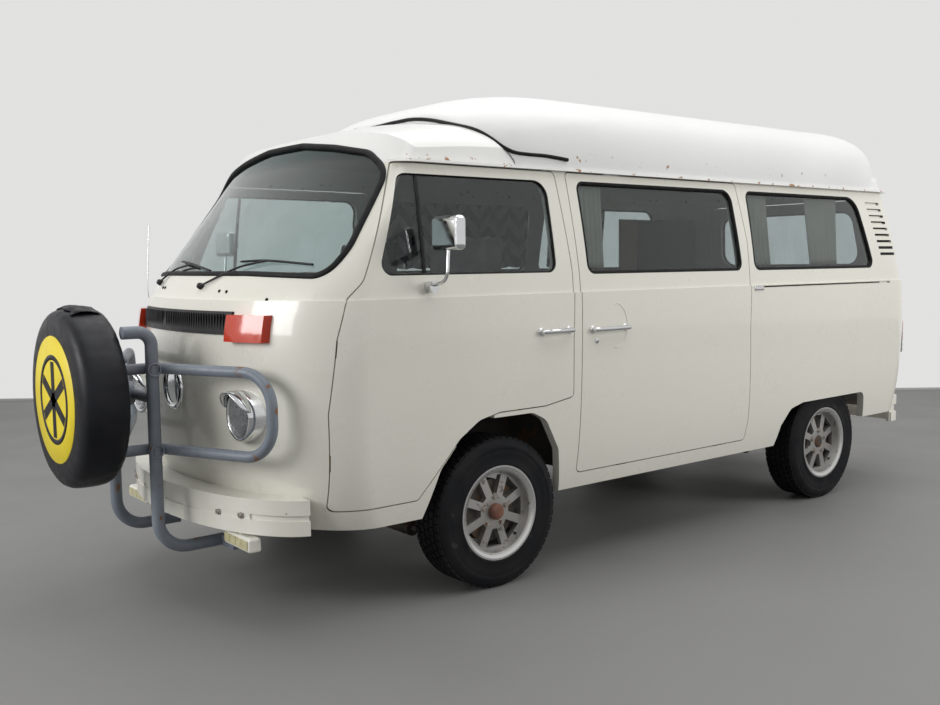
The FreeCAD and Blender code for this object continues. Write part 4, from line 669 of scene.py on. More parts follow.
def slab(name: str, centre: Point, size: Point, finish: object, edge: float = 0.002) -> Piece:
    """A block with rounded edges.

    Args:
        name: the piece's name.
        centre: its middle.
        size: its lengths along X, Y and Z.
        finish: the finish.
        edge: the rounding of its edges.

    Returns:
        The block.
    """
    work = bmesh.new()
    bmesh.ops.create_cube(work, size=1)
    bmesh.ops.scale(work, vec=size, verts=work.verts)
    bmesh.ops.bevel(work, geom=work.edges[:], offset=edge, segments=3, profile=0.7, affect="EDGES")
    bmesh.ops.translate(work, vec=centre, verts=work.verts)
    points = [v.co.copy() for v in work.verts]
    faces = [[v.index for v in f.verts] for f in work.faces]
    work.free()
    return piece(name, points, faces, finish)


def path_of(points: Sequence, every: float = 0.01) -> list[Vector]:
    """A smooth open path through some points.

    Args:
        points: the points.
        every: the distance between the path's points.

    Returns:
        Points on a Catmull-Rom curve.
    """
    spots = [Vector(p) for p in points]
    last = len(spots) - 1
    result = []
    for index in range(last):
        a, b, c, d = (spots[min(max(index + shift, 0), last)] for shift in (-1, 0, 1, 2))
        steps = max(1, round((c - b).length / every))
        for step in range(steps):
            t = step / steps
            square = (2 * a - 5 * b + 4 * c - d) * t * t
            cube = (3 * b - a - 3 * c + d) * t ** 3
            result.append(0.5 * (2 * b + (c - a) * t + square + cube))
    result.append(spots[last])
    return result


# Geometry Nodes


class Tree:
    """A geometry tree with named inputs, run on a host mesh and turned into a plain piece."""

    def __init__(self, name: str, inputs: Sequence[tuple[str, str, object]]) -> None:
        """Start a tree.

        Args:
            name: the tree's name.
            inputs: each input's name, socket type and default.
        """
        self.tree = bpy.data.node_groups.new(name, "GeometryNodeTree")
        face = self.tree.interface
        face.new_socket("Geometry", in_out="INPUT", socket_type="NodeSocketGeometry")
        self.keys = {}
        for label, kind, value in inputs:
            socket = face.new_socket(label, in_out="INPUT", socket_type=kind)
            if value is not None:
                socket.default_value = value
            self.keys[label] = socket.identifier
        face.new_socket("Geometry", in_out="OUTPUT", socket_type="NodeSocketGeometry")
        self.given = self.tree.nodes.new("NodeGroupInput")
        self.result = self.tree.nodes.new("NodeGroupOutput")

    def add(
        self, kind: str, links: dict[str | int, Socket] | None = None, **settings: object
    ) -> Node:
        """Add a node.

        Args:
            kind: the node's type name.
            links: what feeds its inputs.
            **settings: properties, or numbers for inputs, named with underscores for spaces.

        Returns:
            The new node.
        """
        node = self.tree.nodes.new(kind)
        for key, value in settings.items():
            if hasattr(node, key):
                setattr(node, key, value)
            else:
                node.inputs[key.replace("_", " ")].default_value = value
        for key, source in (links or {}).items():
            self.tree.links.new(source, node.inputs[key])
        return node

    def spread(self, instance: Socket) -> None:
        """Put an instance on each host point, turned by the point's attribute, and end the tree.

        Args:
            instance: what stands on each point.
        """
        turn = self.add("GeometryNodeInputNamedAttribute", data_type="FLOAT_VECTOR", Name="turn")
        links = {"Points": self.given.outputs["Geometry"], "Instance": instance}
        links["Rotation"] = turn.outputs[0]
        self.close(self.add("GeometryNodeInstanceOnPoints", links).outputs[0])

    def close(self, geometry: Socket) -> None:
        """End the tree in Realize Instances, Set Shade Smooth and Set Material.

        Args:
            geometry: what the tree has made.
        """
        real = self.add("GeometryNodeRealizeInstances", {"Geometry": geometry})
        smooth = self.add(
            "GeometryNodeSetShadeSmooth",
            {"Geometry": real.outputs[0], "Shade Smooth": self.given.outputs["Smooth"]},
        )
        dressed = self.add(
            "GeometryNodeSetMaterial",
            {"Geometry": smooth.outputs[0], "Material": self.given.outputs["Material"]},
        )
        self.tree.links.new(dressed.outputs[0], self.result.inputs[0])

    def grow(self, name: str, host: bpy.types.Mesh, finish: object, **values: object) -> Piece:
        """Run the tree on a host mesh.

        Args:
            name: the piece's name.
            host: the mesh that it follows.
            finish: the finish.
            **values: the inputs, named with underscores for spaces.

        Returns:
            The plain piece, with no modifier.
        """
        carrier = bpy.data.objects.new(name + "_host", host)
        bpy.context.collection.objects.link(carrier)
        step = carrier.modifiers.new("grow", "NODES")
        step.node_group = self.tree
        step[self.keys["Material"]] = material(finish)
        for key, value in values.items():
            step[self.keys[key.replace("_", " ")]] = value
        bpy.context.view_layer.update()
        seen = carrier.evaluated_get(bpy.context.evaluated_depsgraph_get())
        mesh = bpy.data.meshes.new_from_object(seen)
        carrier.modifiers.clear()
        bpy.data.objects.remove(carrier)
        mesh.name = name
        made = bpy.data.objects.new(name, mesh)
        bpy.context.collection.objects.link(made)
        return made


def bead_tree() -> Tree:
    """A tree that sweeps a round bead along the host's edges, with closed ends.

    Returns:
        The tree.
    """
    tree = Tree("bead_on_path", [
        ("Radius", "NodeSocketFloat", 0.008),
        ("Sides", "NodeSocketInt", 10),
        ("Smooth", "NodeSocketBool", True),
        ("Material", "NodeSocketMaterial", None),
    ])
    line = tree.add("GeometryNodeMeshToCurve", {"Mesh": tree.given.outputs["Geometry"]})
    ring = tree.add(
        "GeometryNodeCurvePrimitiveCircle",
        {"Radius": tree.given.outputs["Radius"], "Resolution": tree.given.outputs["Sides"]},
    )
    tube = tree.add(
        "GeometryNodeCurveToMesh", {"Curve": line.outputs[0], "Profile Curve": ring.outputs[0]},
        Fill_Caps=True,
    )
    tree.close(tube.outputs[0])
    return tree


def block_tree() -> Tree:
    """A tree that puts a block on each of the host's points, turned by its attribute.

    Returns:
        The tree.
    """
    tree = Tree("blocks_on_points", [
        ("Size", "NodeSocketVector", (0.01, 0.01, 0.01)),
        ("Smooth", "NodeSocketBool", False),
        ("Material", "NodeSocketMaterial", None),
    ])
    block = tree.add("GeometryNodeMeshCube", {"Size": tree.given.outputs["Size"]})
    tree.spread(block.outputs[0])
    return tree


def bolt_tree() -> Tree:
    """A tree that puts a bolt head on a washer at each of the host's points.

    Returns:
        The tree.
    """
    tree = Tree("bolts_on_points", [
        ("Head", "NodeSocketFloat", 0.008),
        ("Height", "NodeSocketFloat", 0.006),
        ("Washer", "NodeSocketFloat", 0.011),
        ("Sides", "NodeSocketInt", 6),
        ("Smooth", "NodeSocketBool", False),
        ("Material", "NodeSocketMaterial", None),
    ])
    head = tree.add(
        "GeometryNodeMeshCylinder",
        {
            "Vertices": tree.given.outputs["Sides"], "Radius": tree.given.outputs["Head"],
            "Depth": tree.given.outputs["Height"],
        },
    )
    lift = tree.add("ShaderNodeCombineXYZ", {"Z": tree.given.outputs["Height"]})
    half = tree.add("ShaderNodeVectorMath", {0: lift.outputs[0]}, operation="SCALE")
    half.inputs["Scale"].default_value = 0.5
    raised = tree.add(
        "GeometryNodeTransform", {"Geometry": head.outputs[0], "Translation": half.outputs[0]}
    )
    washer = tree.add(
        "GeometryNodeMeshCylinder", {"Radius": tree.given.outputs["Washer"]}, Vertices=20,
        Depth=0.003,
    )
    both = tree.add("GeometryNodeJoinGeometry")
    tree.tree.links.new(raised.outputs[0], both.inputs[0])
    tree.tree.links.new(washer.outputs[0], both.inputs[0])
    tree.spread(both.outputs[0])
    return tree


BEADS, BLOCKS, BOLTS = bead_tree(), block_tree(), bolt_tree()


def line_host(*lines: Line) -> bpy.types.Mesh:
    """A host mesh of open or closed lines.

    Args:
        *lines: each line's points and whether it is closed.

    Returns:
        The mesh of edges.
    """
    points, edges = [], []
    for spots, closed in lines:
        start = len(points)
        points += [tuple(p) for p in spots]
        edges += [(start + i, start + i + 1) for i in range(len(spots) - 1)]
        if closed:
            edges.append((len(points) - 1, start))
    mesh = bpy.data.meshes.new("line_host")
    mesh.from_pydata(points, edges, [])
    return mesh


def point_host(points: Sequence, turns: Sequence) -> bpy.types.Mesh:
    """A host mesh of points.

    Args:
        points: the points.
        turns: each point's turn, as Euler angles.

    Returns:
        The mesh, with the turns as an attribute.
    """
    mesh = bpy.data.meshes.new("point_host")
    mesh.from_pydata([tuple(p) for p in points], [], [])
    turn = mesh.attributes.new("turn", "FLOAT_VECTOR", "POINT")
    turn.data.foreach_set("vector", [part for t in turns for part in t])
    return mesh


def facing(direction: Sequence) -> tuple[float, float, float]:
    """The Euler angles that turn +Z to a direction."""
    return tuple(Vector(direction).to_track_quat("Z", "Y").to_euler("XYZ"))


def bead(name: str, lines: Sequence[Line], radius: float, finish: object, sides: int = 10) -> Piece:
    """A round bead along one or more lines."""
    return BEADS.grow(name, line_host(*lines), finish, Radius=radius, Sides=sides)


def bolts(name: str, points: Sequence, directions: Sequence, head: float, finish: object) -> Piece:
    """Bolt heads at points, each facing its direction."""
    host = point_host(points, [facing(d) for d in directions])
    return BOLTS.grow(name, host, finish, Head=head, Height=head * 0.8, Washer=head * 1.5)


# Places on the fixed model


class Skin:
    """The outer surface of some CAD nodes, to set pieces on.

    Where a ray misses it, a piece falls back on the plane of the van's side, nose or tail.
    """

    side_plane = 0.82
    nose_plane = -1.9
    tail_plane = 2.33

    def __init__(self, *nodes: str) -> None:
        """Read the nodes' meshes.

        Args:
            *nodes: the nodes' names.
        """
        points, faces = [], []
        for node in nodes:
            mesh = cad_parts[node].data
            start = len(points)
            points += [v.co.copy() for v in mesh.vertices]
            faces += [[start + i for i in p.vertices] for p in mesh.polygons]
        self.tree = BVHTree.FromPolygons(points, faces)

    def meet(self, start: Sequence, way: Sequence, lift: float = 0.0) -> Vector | None:
        """Where a ray first meets the skin, lifted off it along the ray."""
        spot, _, _, _ = self.tree.ray_cast(Vector(start), Vector(way))
        return spot - Vector(way).normalized() * lift if spot else None

    def side(self, y: float, z: float, side: Side, lift: float = 0.0) -> Vector:
        """The skin beside a point, seen from outside."""
        spot = self.meet((side.value * 2, y, z), (-side.value, 0, 0), lift)
        return spot or Vector((side.value * self.side_plane, y, z))

    def front(self, x: float, z: float, lift: float = 0.0) -> Vector:
        """The skin in front of a point, seen from the nose's end."""
        spot = self.meet((x, -2.1, z), (0, 1, 0), lift)
        return spot or Vector((x, self.nose_plane, z))

    def back(self, x: float, z: float, lift: float = 0.0) -> Vector:
        """The skin behind a point, seen from the tail."""
        spot = self.meet((x, 3, z), (0, -1, 0), lift)
        return spot or Vector((x, self.tail_plane, z))


def pane_edge(node: str, keep: Callable[[Vector], bool], outer: Vector) -> list[Vector]:
    """The outer edge of a pane of glass.

    Args:
        node: the CAD node.
        keep: which of its vertices belong to the pane.
        outer: the direction outwards.

    Returns:
        Points in order round the edge of the pane's outer face.
    """
    work = bmesh.new()
    work.from_mesh(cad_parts[node].data)
    bmesh.ops.remove_doubles(work, verts=work.verts, dist=1e-5)
    sharp = {}
    for edge in work.edges:
        ours = len(edge.link_faces) == 2 and all(keep(v.co) for v in edge.verts)
        if ours and edge.calc_face_angle(0) > 0.7:
            for vert in edge.verts:
                sharp.setdefault(vert, []).append(edge.other_vert(vert))
    rings, seen = [], set()
    for start in sharp:
        if start in seen:
            continue
        ring, here = [], start
        while here is not None and here not in seen:
            seen.add(here)
            ring.append(here.co.copy())
            here = next((v for v in sharp[here] if v not in seen), None)
        rings.append(ring)
    work.free()
    longest = max(len(ring) for ring in rings)
    full = [ring for ring in rings if len(ring) > longest * 0.4]
    return max(full, key=lambda ring: sum(v.dot(outer) for v in ring) / len(ring))


def whole(_: Vector) -> bool:
    """Keep every vertex of a node with one pane."""
    return True


def even(points: Sequence[Vector], every: float = 0.02) -> list[Vector]:
    """Points at even steps along a closed line.

    Args:
        points: the line's corners.
        every: the length of a step.

    Returns:
        The closed line's points.
    """
    result = []
    for index, spot in enumerate(points):
        after = points[(index + 1) % len(points)]
        steps = max(1, round((after - spot).length / every))
        result += [spot.lerp(after, step / steps) for step in range(steps)]
    return result


def dress(finish: object, *nodes: str) -> None:
    """Give CAD nodes a finish.

    Args:
        finish: the finish.
        *nodes: the nodes' names.
    """
    for node in nodes:
        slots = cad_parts[node].data.materials
        for index in range(len(slots)):
            slots[index] = material(finish)


@dataclass(frozen=True)
class SoftBox:
    """One lamp: where it hangs, what it faces, its size and power, and whether paint mirrors it."""

    name: str
    place: Point
    aim: Point
    size: tuple[float, float]
    power: float
    mirrored: bool = True


@dataclass
class Studio:
    """Floor, light and camera."""

    eye: Point = (3.905, -3.5525, 1.342)
    azimuth: float = 51.47
    pitch: float = 5.12
    roll: float = -0.69
    lens: float = 38.05
    far: float = 4.82
    wall: Colour = (0.756, 0.754, 0.75)
    floor: Colour = (0.205, 0.204, 0.2)
    half_width: float = 20
    near: float = 14
    skirting: float = 0.022
    light_level: float = 0.45
    seen_level: float = 1.0
    boxes: tuple[SoftBox, ...] = (
        SoftBox("overhead", (0.3, 0.3, 5.6), (0, 0.3, 0.8), (6, 8), 235),
        SoftBox("front_key", (-0.8, -7.8, 3.2), (-0.2, -1.8, 0.9), (3.6, 2.8), 270),
        SoftBox("side_fill", (7.2, 5.4, 3.0), (0.8, 1.7, 1.0), (4, 3), 330, False),
    )

    def camera(self) -> None:
        """Place the camera at the photograph's angle."""
        yaw, pitch, roll = (math.radians(a) for a in (self.azimuth, self.pitch, self.roll))
        way = Vector(
            (-math.sin(yaw) * math.cos(pitch), math.cos(yaw) * math.cos(pitch), -math.sin(pitch))
        )
        level = Vector((math.cos(yaw), math.sin(yaw), 0))
        rise = level.cross(way)
        right = math.cos(roll) * level + math.sin(roll) * rise
        up = -math.sin(roll) * level + math.cos(roll) * rise
        data = bpy.data.cameras.new("camera")
        data.lens = self.lens
        data.sensor_width = 36
        data.clip_end = 100
        view = bpy.data.objects.new("camera", data)
        turn = Matrix((right, up, -way)).transposed().to_4x4()
        view.matrix_world = Matrix.Translation(self.eye) @ turn
        bpy.context.collection.objects.link(view)
        bpy.context.scene.camera = view

    def ground(self) -> None:
        """Lay the floor, with a thin skirting where the wall stands."""
        yaw = math.radians(self.azimuth)
        way = Vector((-math.sin(yaw), math.cos(yaw), 0))
        level = Vector((math.cos(yaw), math.sin(yaw), 0))
        shade = tuple(1.06 * c for c in self.floor)
        look = Finish(
            "studio_floor", self.floor, shade, rough=(0.5, 0.62), mottle=0.5, grain=60, depth=0.0003
        )
        wide = self.half_width
        ends = ((-wide, self.far), (wide, self.far), (wide, -self.near), (-wide, -self.near))
        corners = [level * across + way * along for across, along in ends]
        floor = piece("floor", corners, [(0, 1, 2, 3)], look)
        if floor.data.polygons[0].normal.z < 0:
            floor.data.flip_normals()
        line = [
            corner + Vector((0, 0, rise)) for rise in (0, self.skirting) for corner in corners[:2]
        ]
        grey = Finish("skirting", (0.42, 0.42, 0.42), (0.45, 0.45, 0.45))
        skirting = piece("skirting", line, [(0, 1, 3, 2)], grey)

    def lamp(self, box: SoftBox) -> None:
        """Hang one soft box.

        Args:
            box: the soft box.
        """
        data = bpy.data.lights.new(box.name, "AREA")
        data.shape = "RECTANGLE"
        data.size, data.size_y = box.size
        data.energy = box.power
        lamp = bpy.data.objects.new(box.name, data)
        lamp.location = box.place
        lamp.visible_glossy = box.mirrored
        lamp.visible_transmission = False
        way = Vector(box.aim) - Vector(box.place)
        lamp.rotation_euler = way.to_track_quat("-Z", "Y").to_euler()
        bpy.context.collection.objects.link(lamp)

    def world(self) -> None:
        """A pale surrounding, brighter to the camera and to reflections than as light."""
        world = bpy.data.worlds.new("studio")
        world.use_nodes = True
        tree = world.node_tree
        back = tree.nodes["Background"]
        path = tree.nodes.new("ShaderNodeLightPath")
        glossy, seen = (tree.nodes.new("ShaderNodeMath") for _ in range(2))
        glossy.operation = seen.operation = "MAXIMUM"
        tree.links.new(path.outputs["Is Glossy Ray"], glossy.inputs[0])
        tree.links.new(path.outputs["Is Transmission Ray"], glossy.inputs[1])
        tree.links.new(path.outputs["Is Camera Ray"], seen.inputs[0])
        tree.links.new(glossy.outputs[0], seen.inputs[1])
        level = tree.nodes.new("ShaderNodeMapRange")
        level.inputs["To Min"].default_value = self.light_level
        level.inputs["To Max"].default_value = self.seen_level
        tree.links.new(seen.outputs[0], level.inputs["Value"])
        tree.links.new(level.outputs[0], back.inputs["Strength"])
        back.inputs["Color"].default_value = (*self.wall, 1)
        bpy.context.scene.world = world

    def build(self) -> None:
        """Set the whole studio up."""
        self.camera()
        self.ground()
        self.world()
        for box in self.boxes:
            self.lamp(box)
        bpy.context.scene.view_settings.view_transform = "Standard"


NODE_FINISHES: tuple[tuple[object, str], ...] = (
    (BODY, "nose_panel side_panel_left side_panel_right rear_panel sliding_door"),
    (BODY, "front_door_left front_door_right tailgate engine_lid"),
    (ROOF, "roof_panel"),
    (POPTOP, "pop_top"),
    (BUMPER, "front_bumper rear_bumper fog_lamps"),
    (GUARD, "bull_bar"),
    (FLOOR, "floor_pan seat_base engine_deck"),
    (STEEL, "front_axle rear_axle engine_block hinges_and_seats steering_column"),
    (STEEL, "knuckle_left knuckle_right"),
    (RUST, "silencer"),
    (CLEAR, "side_glass door_glass_left door_glass_right tailgate_glass"),
    (SCREEN, "windscreen"),
    (REFLECTOR, "headlamps"),
    (PLASTIC, "fresh_air_grille dashboard steering_wheel"),
    (ORANGE, "turn_lamps"),
    (RED, "tail_lamps"),
    (CHROME, "mirror_left mirror_right"),
    (PINE, "cabinet"),
    (RUBBER, "spare_wheel tyre_front_left tyre_front_right tyre_rear_left tyre_rear_right"),
    (RIM_FRONT, "rim_front_left rim_front_right"),
    (RIM_REAR, "rim_rear_left rim_rear_right"),
    (VINYL, "spare_cover"),
    (GREY_CLOTH, "cab_seats rear_seat mattress"),
)


def dress_nodes() -> None:
    """Give every CAD node its finish."""
    for finish, nodes in NODE_FINISHES:
        dress(finish, *nodes.split())


@dataclass
class Glazing:
    """Black rubber seals round every pane, and the quarter-light bars."""

    screen_seal: float = 0.014
    fixed_seal: float = 0.011
    door_seal: float = 0.007
    bar: float = 0.008
    bar_foot: tuple[float, float] = (-1.3185, 1.31)
    bar_run: tuple[float, float] = (0.011, 0.37)
    split: float = 0.7

    def seal(
        self, name: str, node: str, keep: Callable[[Vector], bool], outer: Point, radius: float,
        body: str,
    ) -> None:
        """Sweep a seal round one pane.

        Args:
            name: the seal's name.
            node: the glass node.
            keep: which of the node's vertices belong to the pane.
            outer: outwards.
            radius: the bead's radius.
            body: what it rides on.
        """
        way = Vector(outer).normalized()
        line = [spot + way * radius * 0.25 for spot in even(pane_edge(node, keep, way))]
        hand_over(bead(name, [(line, True)], radius, RUBBER), body)

    def build(self) -> None:
        """Make every seal."""
        self.seal("windscreen_seal", "windscreen", whole, (0, -1, 0.5), self.screen_seal, "body")
        self.seal(
            "tailgate_seal", "tailgate_glass", whole, (0, 1, 0.2), self.fixed_seal, "tailgate"
        )
        for side in Side:
            word, sign = side.name.lower(), side.value
            for name, place in (("slider", -1), ("rear", 1)):
                self.seal(
                    f"{name}_window_seal_{word}", "side_glass",
                    lambda v: v.x * sign > 0 and (v.y - self.split) * place > 0,
                    (sign, 0, 0), self.fixed_seal, "body",
                )
            glass, body = f"door_glass_{word}", f"front_door_{word}"
            self.seal(f"door_window_seal_{word}", glass, whole, (sign, 0, 0), self.door_seal, body)
            pane = Skin(glass)
            foot, level = self.bar_foot
            lean, rise = self.bar_run
            shares = (0, 0.25, 0.5, 0.75, 1)
            line = [pane.side(foot + lean * t, level + rise * t, side, 0.001) for t in shares]
            hand_over(
                bead(f"quarter_light_bar_{word}", [(line, False)], self.bar, PLASTIC), body
            )


@dataclass
class Nose:
    """Plain badge ring, headlamps, slatted inlet, wipers, washer jets and aerial."""

    badge: float = 0.093
    badge_height: float = 0.857
    lamp_x: float = 0.5
    lamp_z: float = 0.785
    lens: float = 0.082
    visor_reach: float = 0.05
    bulge: float = 0.014
    flute: float = 0.0018
    flute_span: float = 0.062
    flutes: tuple[float, float, int] = (-0.055, 0.055, 9)
    slats: int = 26
    slat_span: float = 0.47
    slat_size: Point = (0.005, 0.006, 0.07)
    inlet_spans: Profile = ((-0.4, -0.1), (-0.07, 0.4))
    inlet_z: float = 1.1285
    brow_start: float = 14
    brow_arc: float = 152
    brow_points: int = 25
    wiper_arms: tuple[Profile, ...] = (
        ((-0.43, 1.272), (-0.3, 1.33), (-0.12, 1.352)),
        ((0.12, 1.262), (0.3, 1.335), (0.46, 1.362)),
    )
    wiper_blades: tuple[Profile, ...] = (
        ((-0.28, 1.365), (-0.12, 1.352), (0.1, 1.325)),
        ((0.3, 1.36), (0.46, 1.362), (0.68, 1.345)),
    )
    jets: Profile = ((-0.33, 1.252), (-0.29, 1.252), (0.27, 1.246), (0.32, 1.244), (0.56, 1.217))
    jet_size: float = 0.005
    aerial_foot: tuple[float, float] = (-0.7, 1.2)
    aerial_top: Point = (-0.01, 0, 0.34)
    aerial: float = 0.002

    def badge_ring(self, skin: Skin) -> None:
        """A plain chrome ring round a plain dished disc.

        Args:
            skin: the nose's surface.
        """
        spot = skin.front(0, self.badge_height)
        size = self.badge
        hollow = [(size - 0.024, -0.004), (size - 0.021, 0.008), (size - 0.01, 0.012)]
        ring = hollow + [(size, 0.006), (size, -0.004)]
        dish = [(size - 0.022, 0.001), (size * 0.6, 0.004), (size * 0.3, 0.006), (FINE_TIP, 0.007)]
        parts = [
            lathe("badge", profile, tuple(spot), AHEAD, CHROME, 64) for profile in (ring, dish)
        ]
        hand_over(join("nose_badge_plain", parts), "body")

    def headlamp(self, side: Side, skin: Skin) -> None:
        """One fluted lens in a chrome ring, with a chrome brow above it.

        Args:
            side: which lamp.
            skin: the lamp's CAD skin.
        """
        lens, across = self.lens, side.value * self.lamp_x
        centre = (across, skin.front(across, self.lamp_z).y, self.lamp_z)
        angles = (0, 0.3, 0.6, 0.9, 1.2, 1.45)
        dome = [(lens * math.cos(a), 0.001 + self.bulge * math.sin(a)) for a in angles]
        dome.append((FINE_TIP, 0.001 + self.bulge))
        bowl = [(lens, 0.0005), (lens * 0.5, 0.003), (0.02, 0.006), (FINE_TIP, 0.007)]
        rim = [(lens, -0.01), (lens, 0.006), (lens + 0.006, 0.01), (lens + 0.014, 0.004)]
        parts = [
            lathe("lens", dome, centre, AHEAD, LENS),
            lathe("bowl", bowl, centre, AHEAD, REFLECTOR),
            lathe("rim", [*rim, (lens + 0.015, -0.02)], centre, AHEAD, CHROME, 64),
            self.fluting(centre),
        ]
        word = side.name.lower()
        hand_over(join(f"headlamp_lens_{word}", parts), "body")
        hand_over(self.brow(f"headlamp_brow_{word}", centre), "body")

    def fluting(self, centre: Point) -> Piece:
        """The upright flutes on a headlamp's lens.

        Args:
            centre: the lens's middle.

        Returns:
            The flutes.
        """
        lines = []
        for across in np.linspace(*self.flutes):
            depth = 0.003 + 0.013 * (1 - (across / self.lens) ** 2)
            rise = math.sqrt(self.flute_span ** 2 - across * across)
            ends = [
                (centre[0] + across, centre[1] - depth, centre[2] + way * rise) for way in (-1, 1)
            ]
            lines.append((ends, False))
        return bead("fluting", lines, self.flute, LENS, 6)

    def brow(self, name: str, centre: Point) -> Piece:
        """The chrome brow that stands out above a headlamp.

        Args:
            name: the brow's name.
            centre: the lens's middle.

        Returns:
            The brow.
        """
        outer = ((0.016, 0.0), (0.017, 0.5), (0.013, 1.0))
        section = (*outer, (0.01, 1.0), (0.013, 0.5), (0.012, 0.0))
        rows, count = len(section), self.brow_points
        points = []
        for gap, reach in section:
            radius = self.lens + gap
            for step in range(count):
                angle = math.radians(self.brow_start + self.brow_arc * step / (count - 1))
                fade = math.sin(math.pi * step / (count - 1)) ** 0.5
                out = centre[1] + 0.004 - (0.01 + self.visor_reach * fade) * reach
                place = (centre[0] + radius * math.cos(angle), out)
                points.append((*place, centre[2] + radius * math.sin(angle)))
        faces = grid(rows, count, ring_rows=True)
        faces.append(tuple(row * count for row in range(rows)))
        faces.append(tuple(row * count + count - 1 for row in reversed(range(rows))))
        return piece(name, points, faces, CHROME)

    def inlet(self) -> None:
        """The upright slats of the fresh-air inlet."""
        skin = Skin("fresh_air_grille")
        spots = []
        for start, end in self.inlet_spans:
            count = round(self.slats * (end - start) / self.slat_span)
            for step in range(count):
                across = start + (end - start) * (step + 0.5) / count
                spots.append(skin.front(across, self.inlet_z, 0.001))
        host = point_host(spots, [(0, 0, 0)] * len(spots))
        hand_over(BLOCKS.grow("inlet_slats", host, PLASTIC, Size=self.slat_size), "body")

    def wipers(self) -> None:
        """Two arms with bladed rubbers resting on the glass."""
        skin = Skin("windscreen", "nose_panel")
        parts = []
        for places, lifts, width, look, sides in (
            (self.wiper_arms, (0.016, 0.016), 0.0042, PLASTIC, 10),
            (self.wiper_blades, (0.009, 0.009), 0.005, RUBBER, 6),
            (self.wiper_blades, (0.017, 0.013), 0.003, PLASTIC, 6),
        ):
            lines = []
            for first, second, last in places:
                spots = [skin.front(*spot, lifts[0]) for spot in (first, second)]
                lines.append((path_of([*spots, skin.front(*last, lifts[1])]), False))
            parts.append(bead("wiper", lines, width, look, sides))
        hub = [(0.013, -0.02), (0.014, 0.01), (0.01, 0.02), (FINE_TIP, 0.022)]
        for arm in self.wiper_arms:
            parts.append(lathe("hub", hub, tuple(skin.front(*arm[0])), (0, -1, 0.4), PLASTIC, 20))
        hand_over(join("wipers", parts), "body")

    def small_things(self, skin: Skin) -> None:
        """Washer jets, plugged holes and the aerial.

        Args:
            skin: the nose's surface.
        """
        spots = [skin.front(*place) for place in self.jets]
        turns = [(0, -1, 0.3)] * len(spots)
        hand_over(bolts("washer_jets", spots, turns, self.jet_size, RUBBER), "body")
        foot = skin.front(*self.aerial_foot)
        mast = [foot, foot + Vector((0, -0.02, 0.03)), foot + Vector(self.aerial_top)]
        rod = bead("aerial", [(path_of(mast), False)], self.aerial, CHROME, 8)
        hand_over(rod, "body")

    def build(self) -> None:
        """Make the nose's pieces."""
        skin = Skin("nose_panel")
        self.badge_ring(skin)
        lamps = Skin("headlamps", "nose_panel")
        for side in Side:
            self.headlamp(side, lamps)
        self.inlet()
        self.wipers()
        self.small_things(skin)


@dataclass
class Bumpers:
    """Bracket strips and bolts on the front bumper, and the fog lamps' lenses."""

    strip_z: float = 0.42
    strip_half: float = 0.019
    strip_places: tuple[float, ...] = (0.24, 0.33, 0.42, 0.5, 0.57)
    bolt_places: tuple[float, ...] = (0.42, 0.53)
    bolt_size: float = 0.01
    lens_x: float = 0.51
    lens_z: float = 0.3195
    lens_size: Point = (0.045, 0.006, 0.034)
    lens_shifts: tuple[float, ...] = (-0.072, -0.024, 0.024, 0.072)

    def build(self) -> None:
        """Make the bumpers' pieces."""
        skin = Skin("front_bumper")
        for side in Side:
            sign, word = side.value, side.name.lower()
            ends = [sign * x for x in self.strip_places]
            points, faces = [], []
            for x in ends:
                spot = skin.front(x, self.strip_z)
                for rise in (-self.strip_half, self.strip_half):
                    for out in (0.006, -0.001):
                        points.append((x, spot.y - out, self.strip_z + rise))
            for step in range(len(ends) - 1):
                base = step * 4
                for a, b in ((0, 1), (1, 3), (3, 2), (2, 0)):
                    faces.append((base + a, base + b, base + b + 4, base + a + 4))
            last = (len(ends) - 1) * 4
            faces += [(0, 1, 3, 2), (last, last + 2, last + 3, last + 1)]
            hand_over(piece(f"bumper_strip_{word}", points, faces, BUMPER, False), "body")
            spots = [skin.front(sign * x, self.strip_z, 0.006) for x in self.bolt_places]
            heads = bolts(f"bumper_bolts_{word}", spots, [AHEAD] * 2, self.bolt_size, ZINC)
            hand_over(heads, "body")
            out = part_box("fog_lamps")[0].y - 0.001
            cells = [(sign * (self.lens_x + shift), out, self.lens_z) for shift in self.lens_shifts]
            host = point_host(cells, [(0, 0, 0)] * len(cells))
            lens = BLOCKS.grow(f"fog_lens_{word}", host, FOG_LENS, Size=self.lens_size)
            hand_over(lens, "body")


@dataclass
class Guard:
    """Welds on the tubular front guard."""

    weld: float = 0.02385
    weld_bead: float = 0.003
    weld_points: int = 20
    spot: tuple[float, float] = (0.256, -2.1645)
    heights: tuple[float, float] = (0.646, 0.957)

    def build(self) -> None:
        """Make the weld beads where tubes meet."""
        rings = []
        across, out = self.spot
        for sign in (-1, 1):
            for height in self.heights:
                ring = []
                for step in range(self.weld_points):
                    angle = 2 * math.pi * step / self.weld_points
                    along, rise = self.weld * math.cos(angle), self.weld * math.sin(angle)
                    ring.append((sign * across, out + along, height + rise))
                rings.append((ring, True))
        hand_over(bead("guard_welds", rings, self.weld_bead, GUARD, 6), "body")


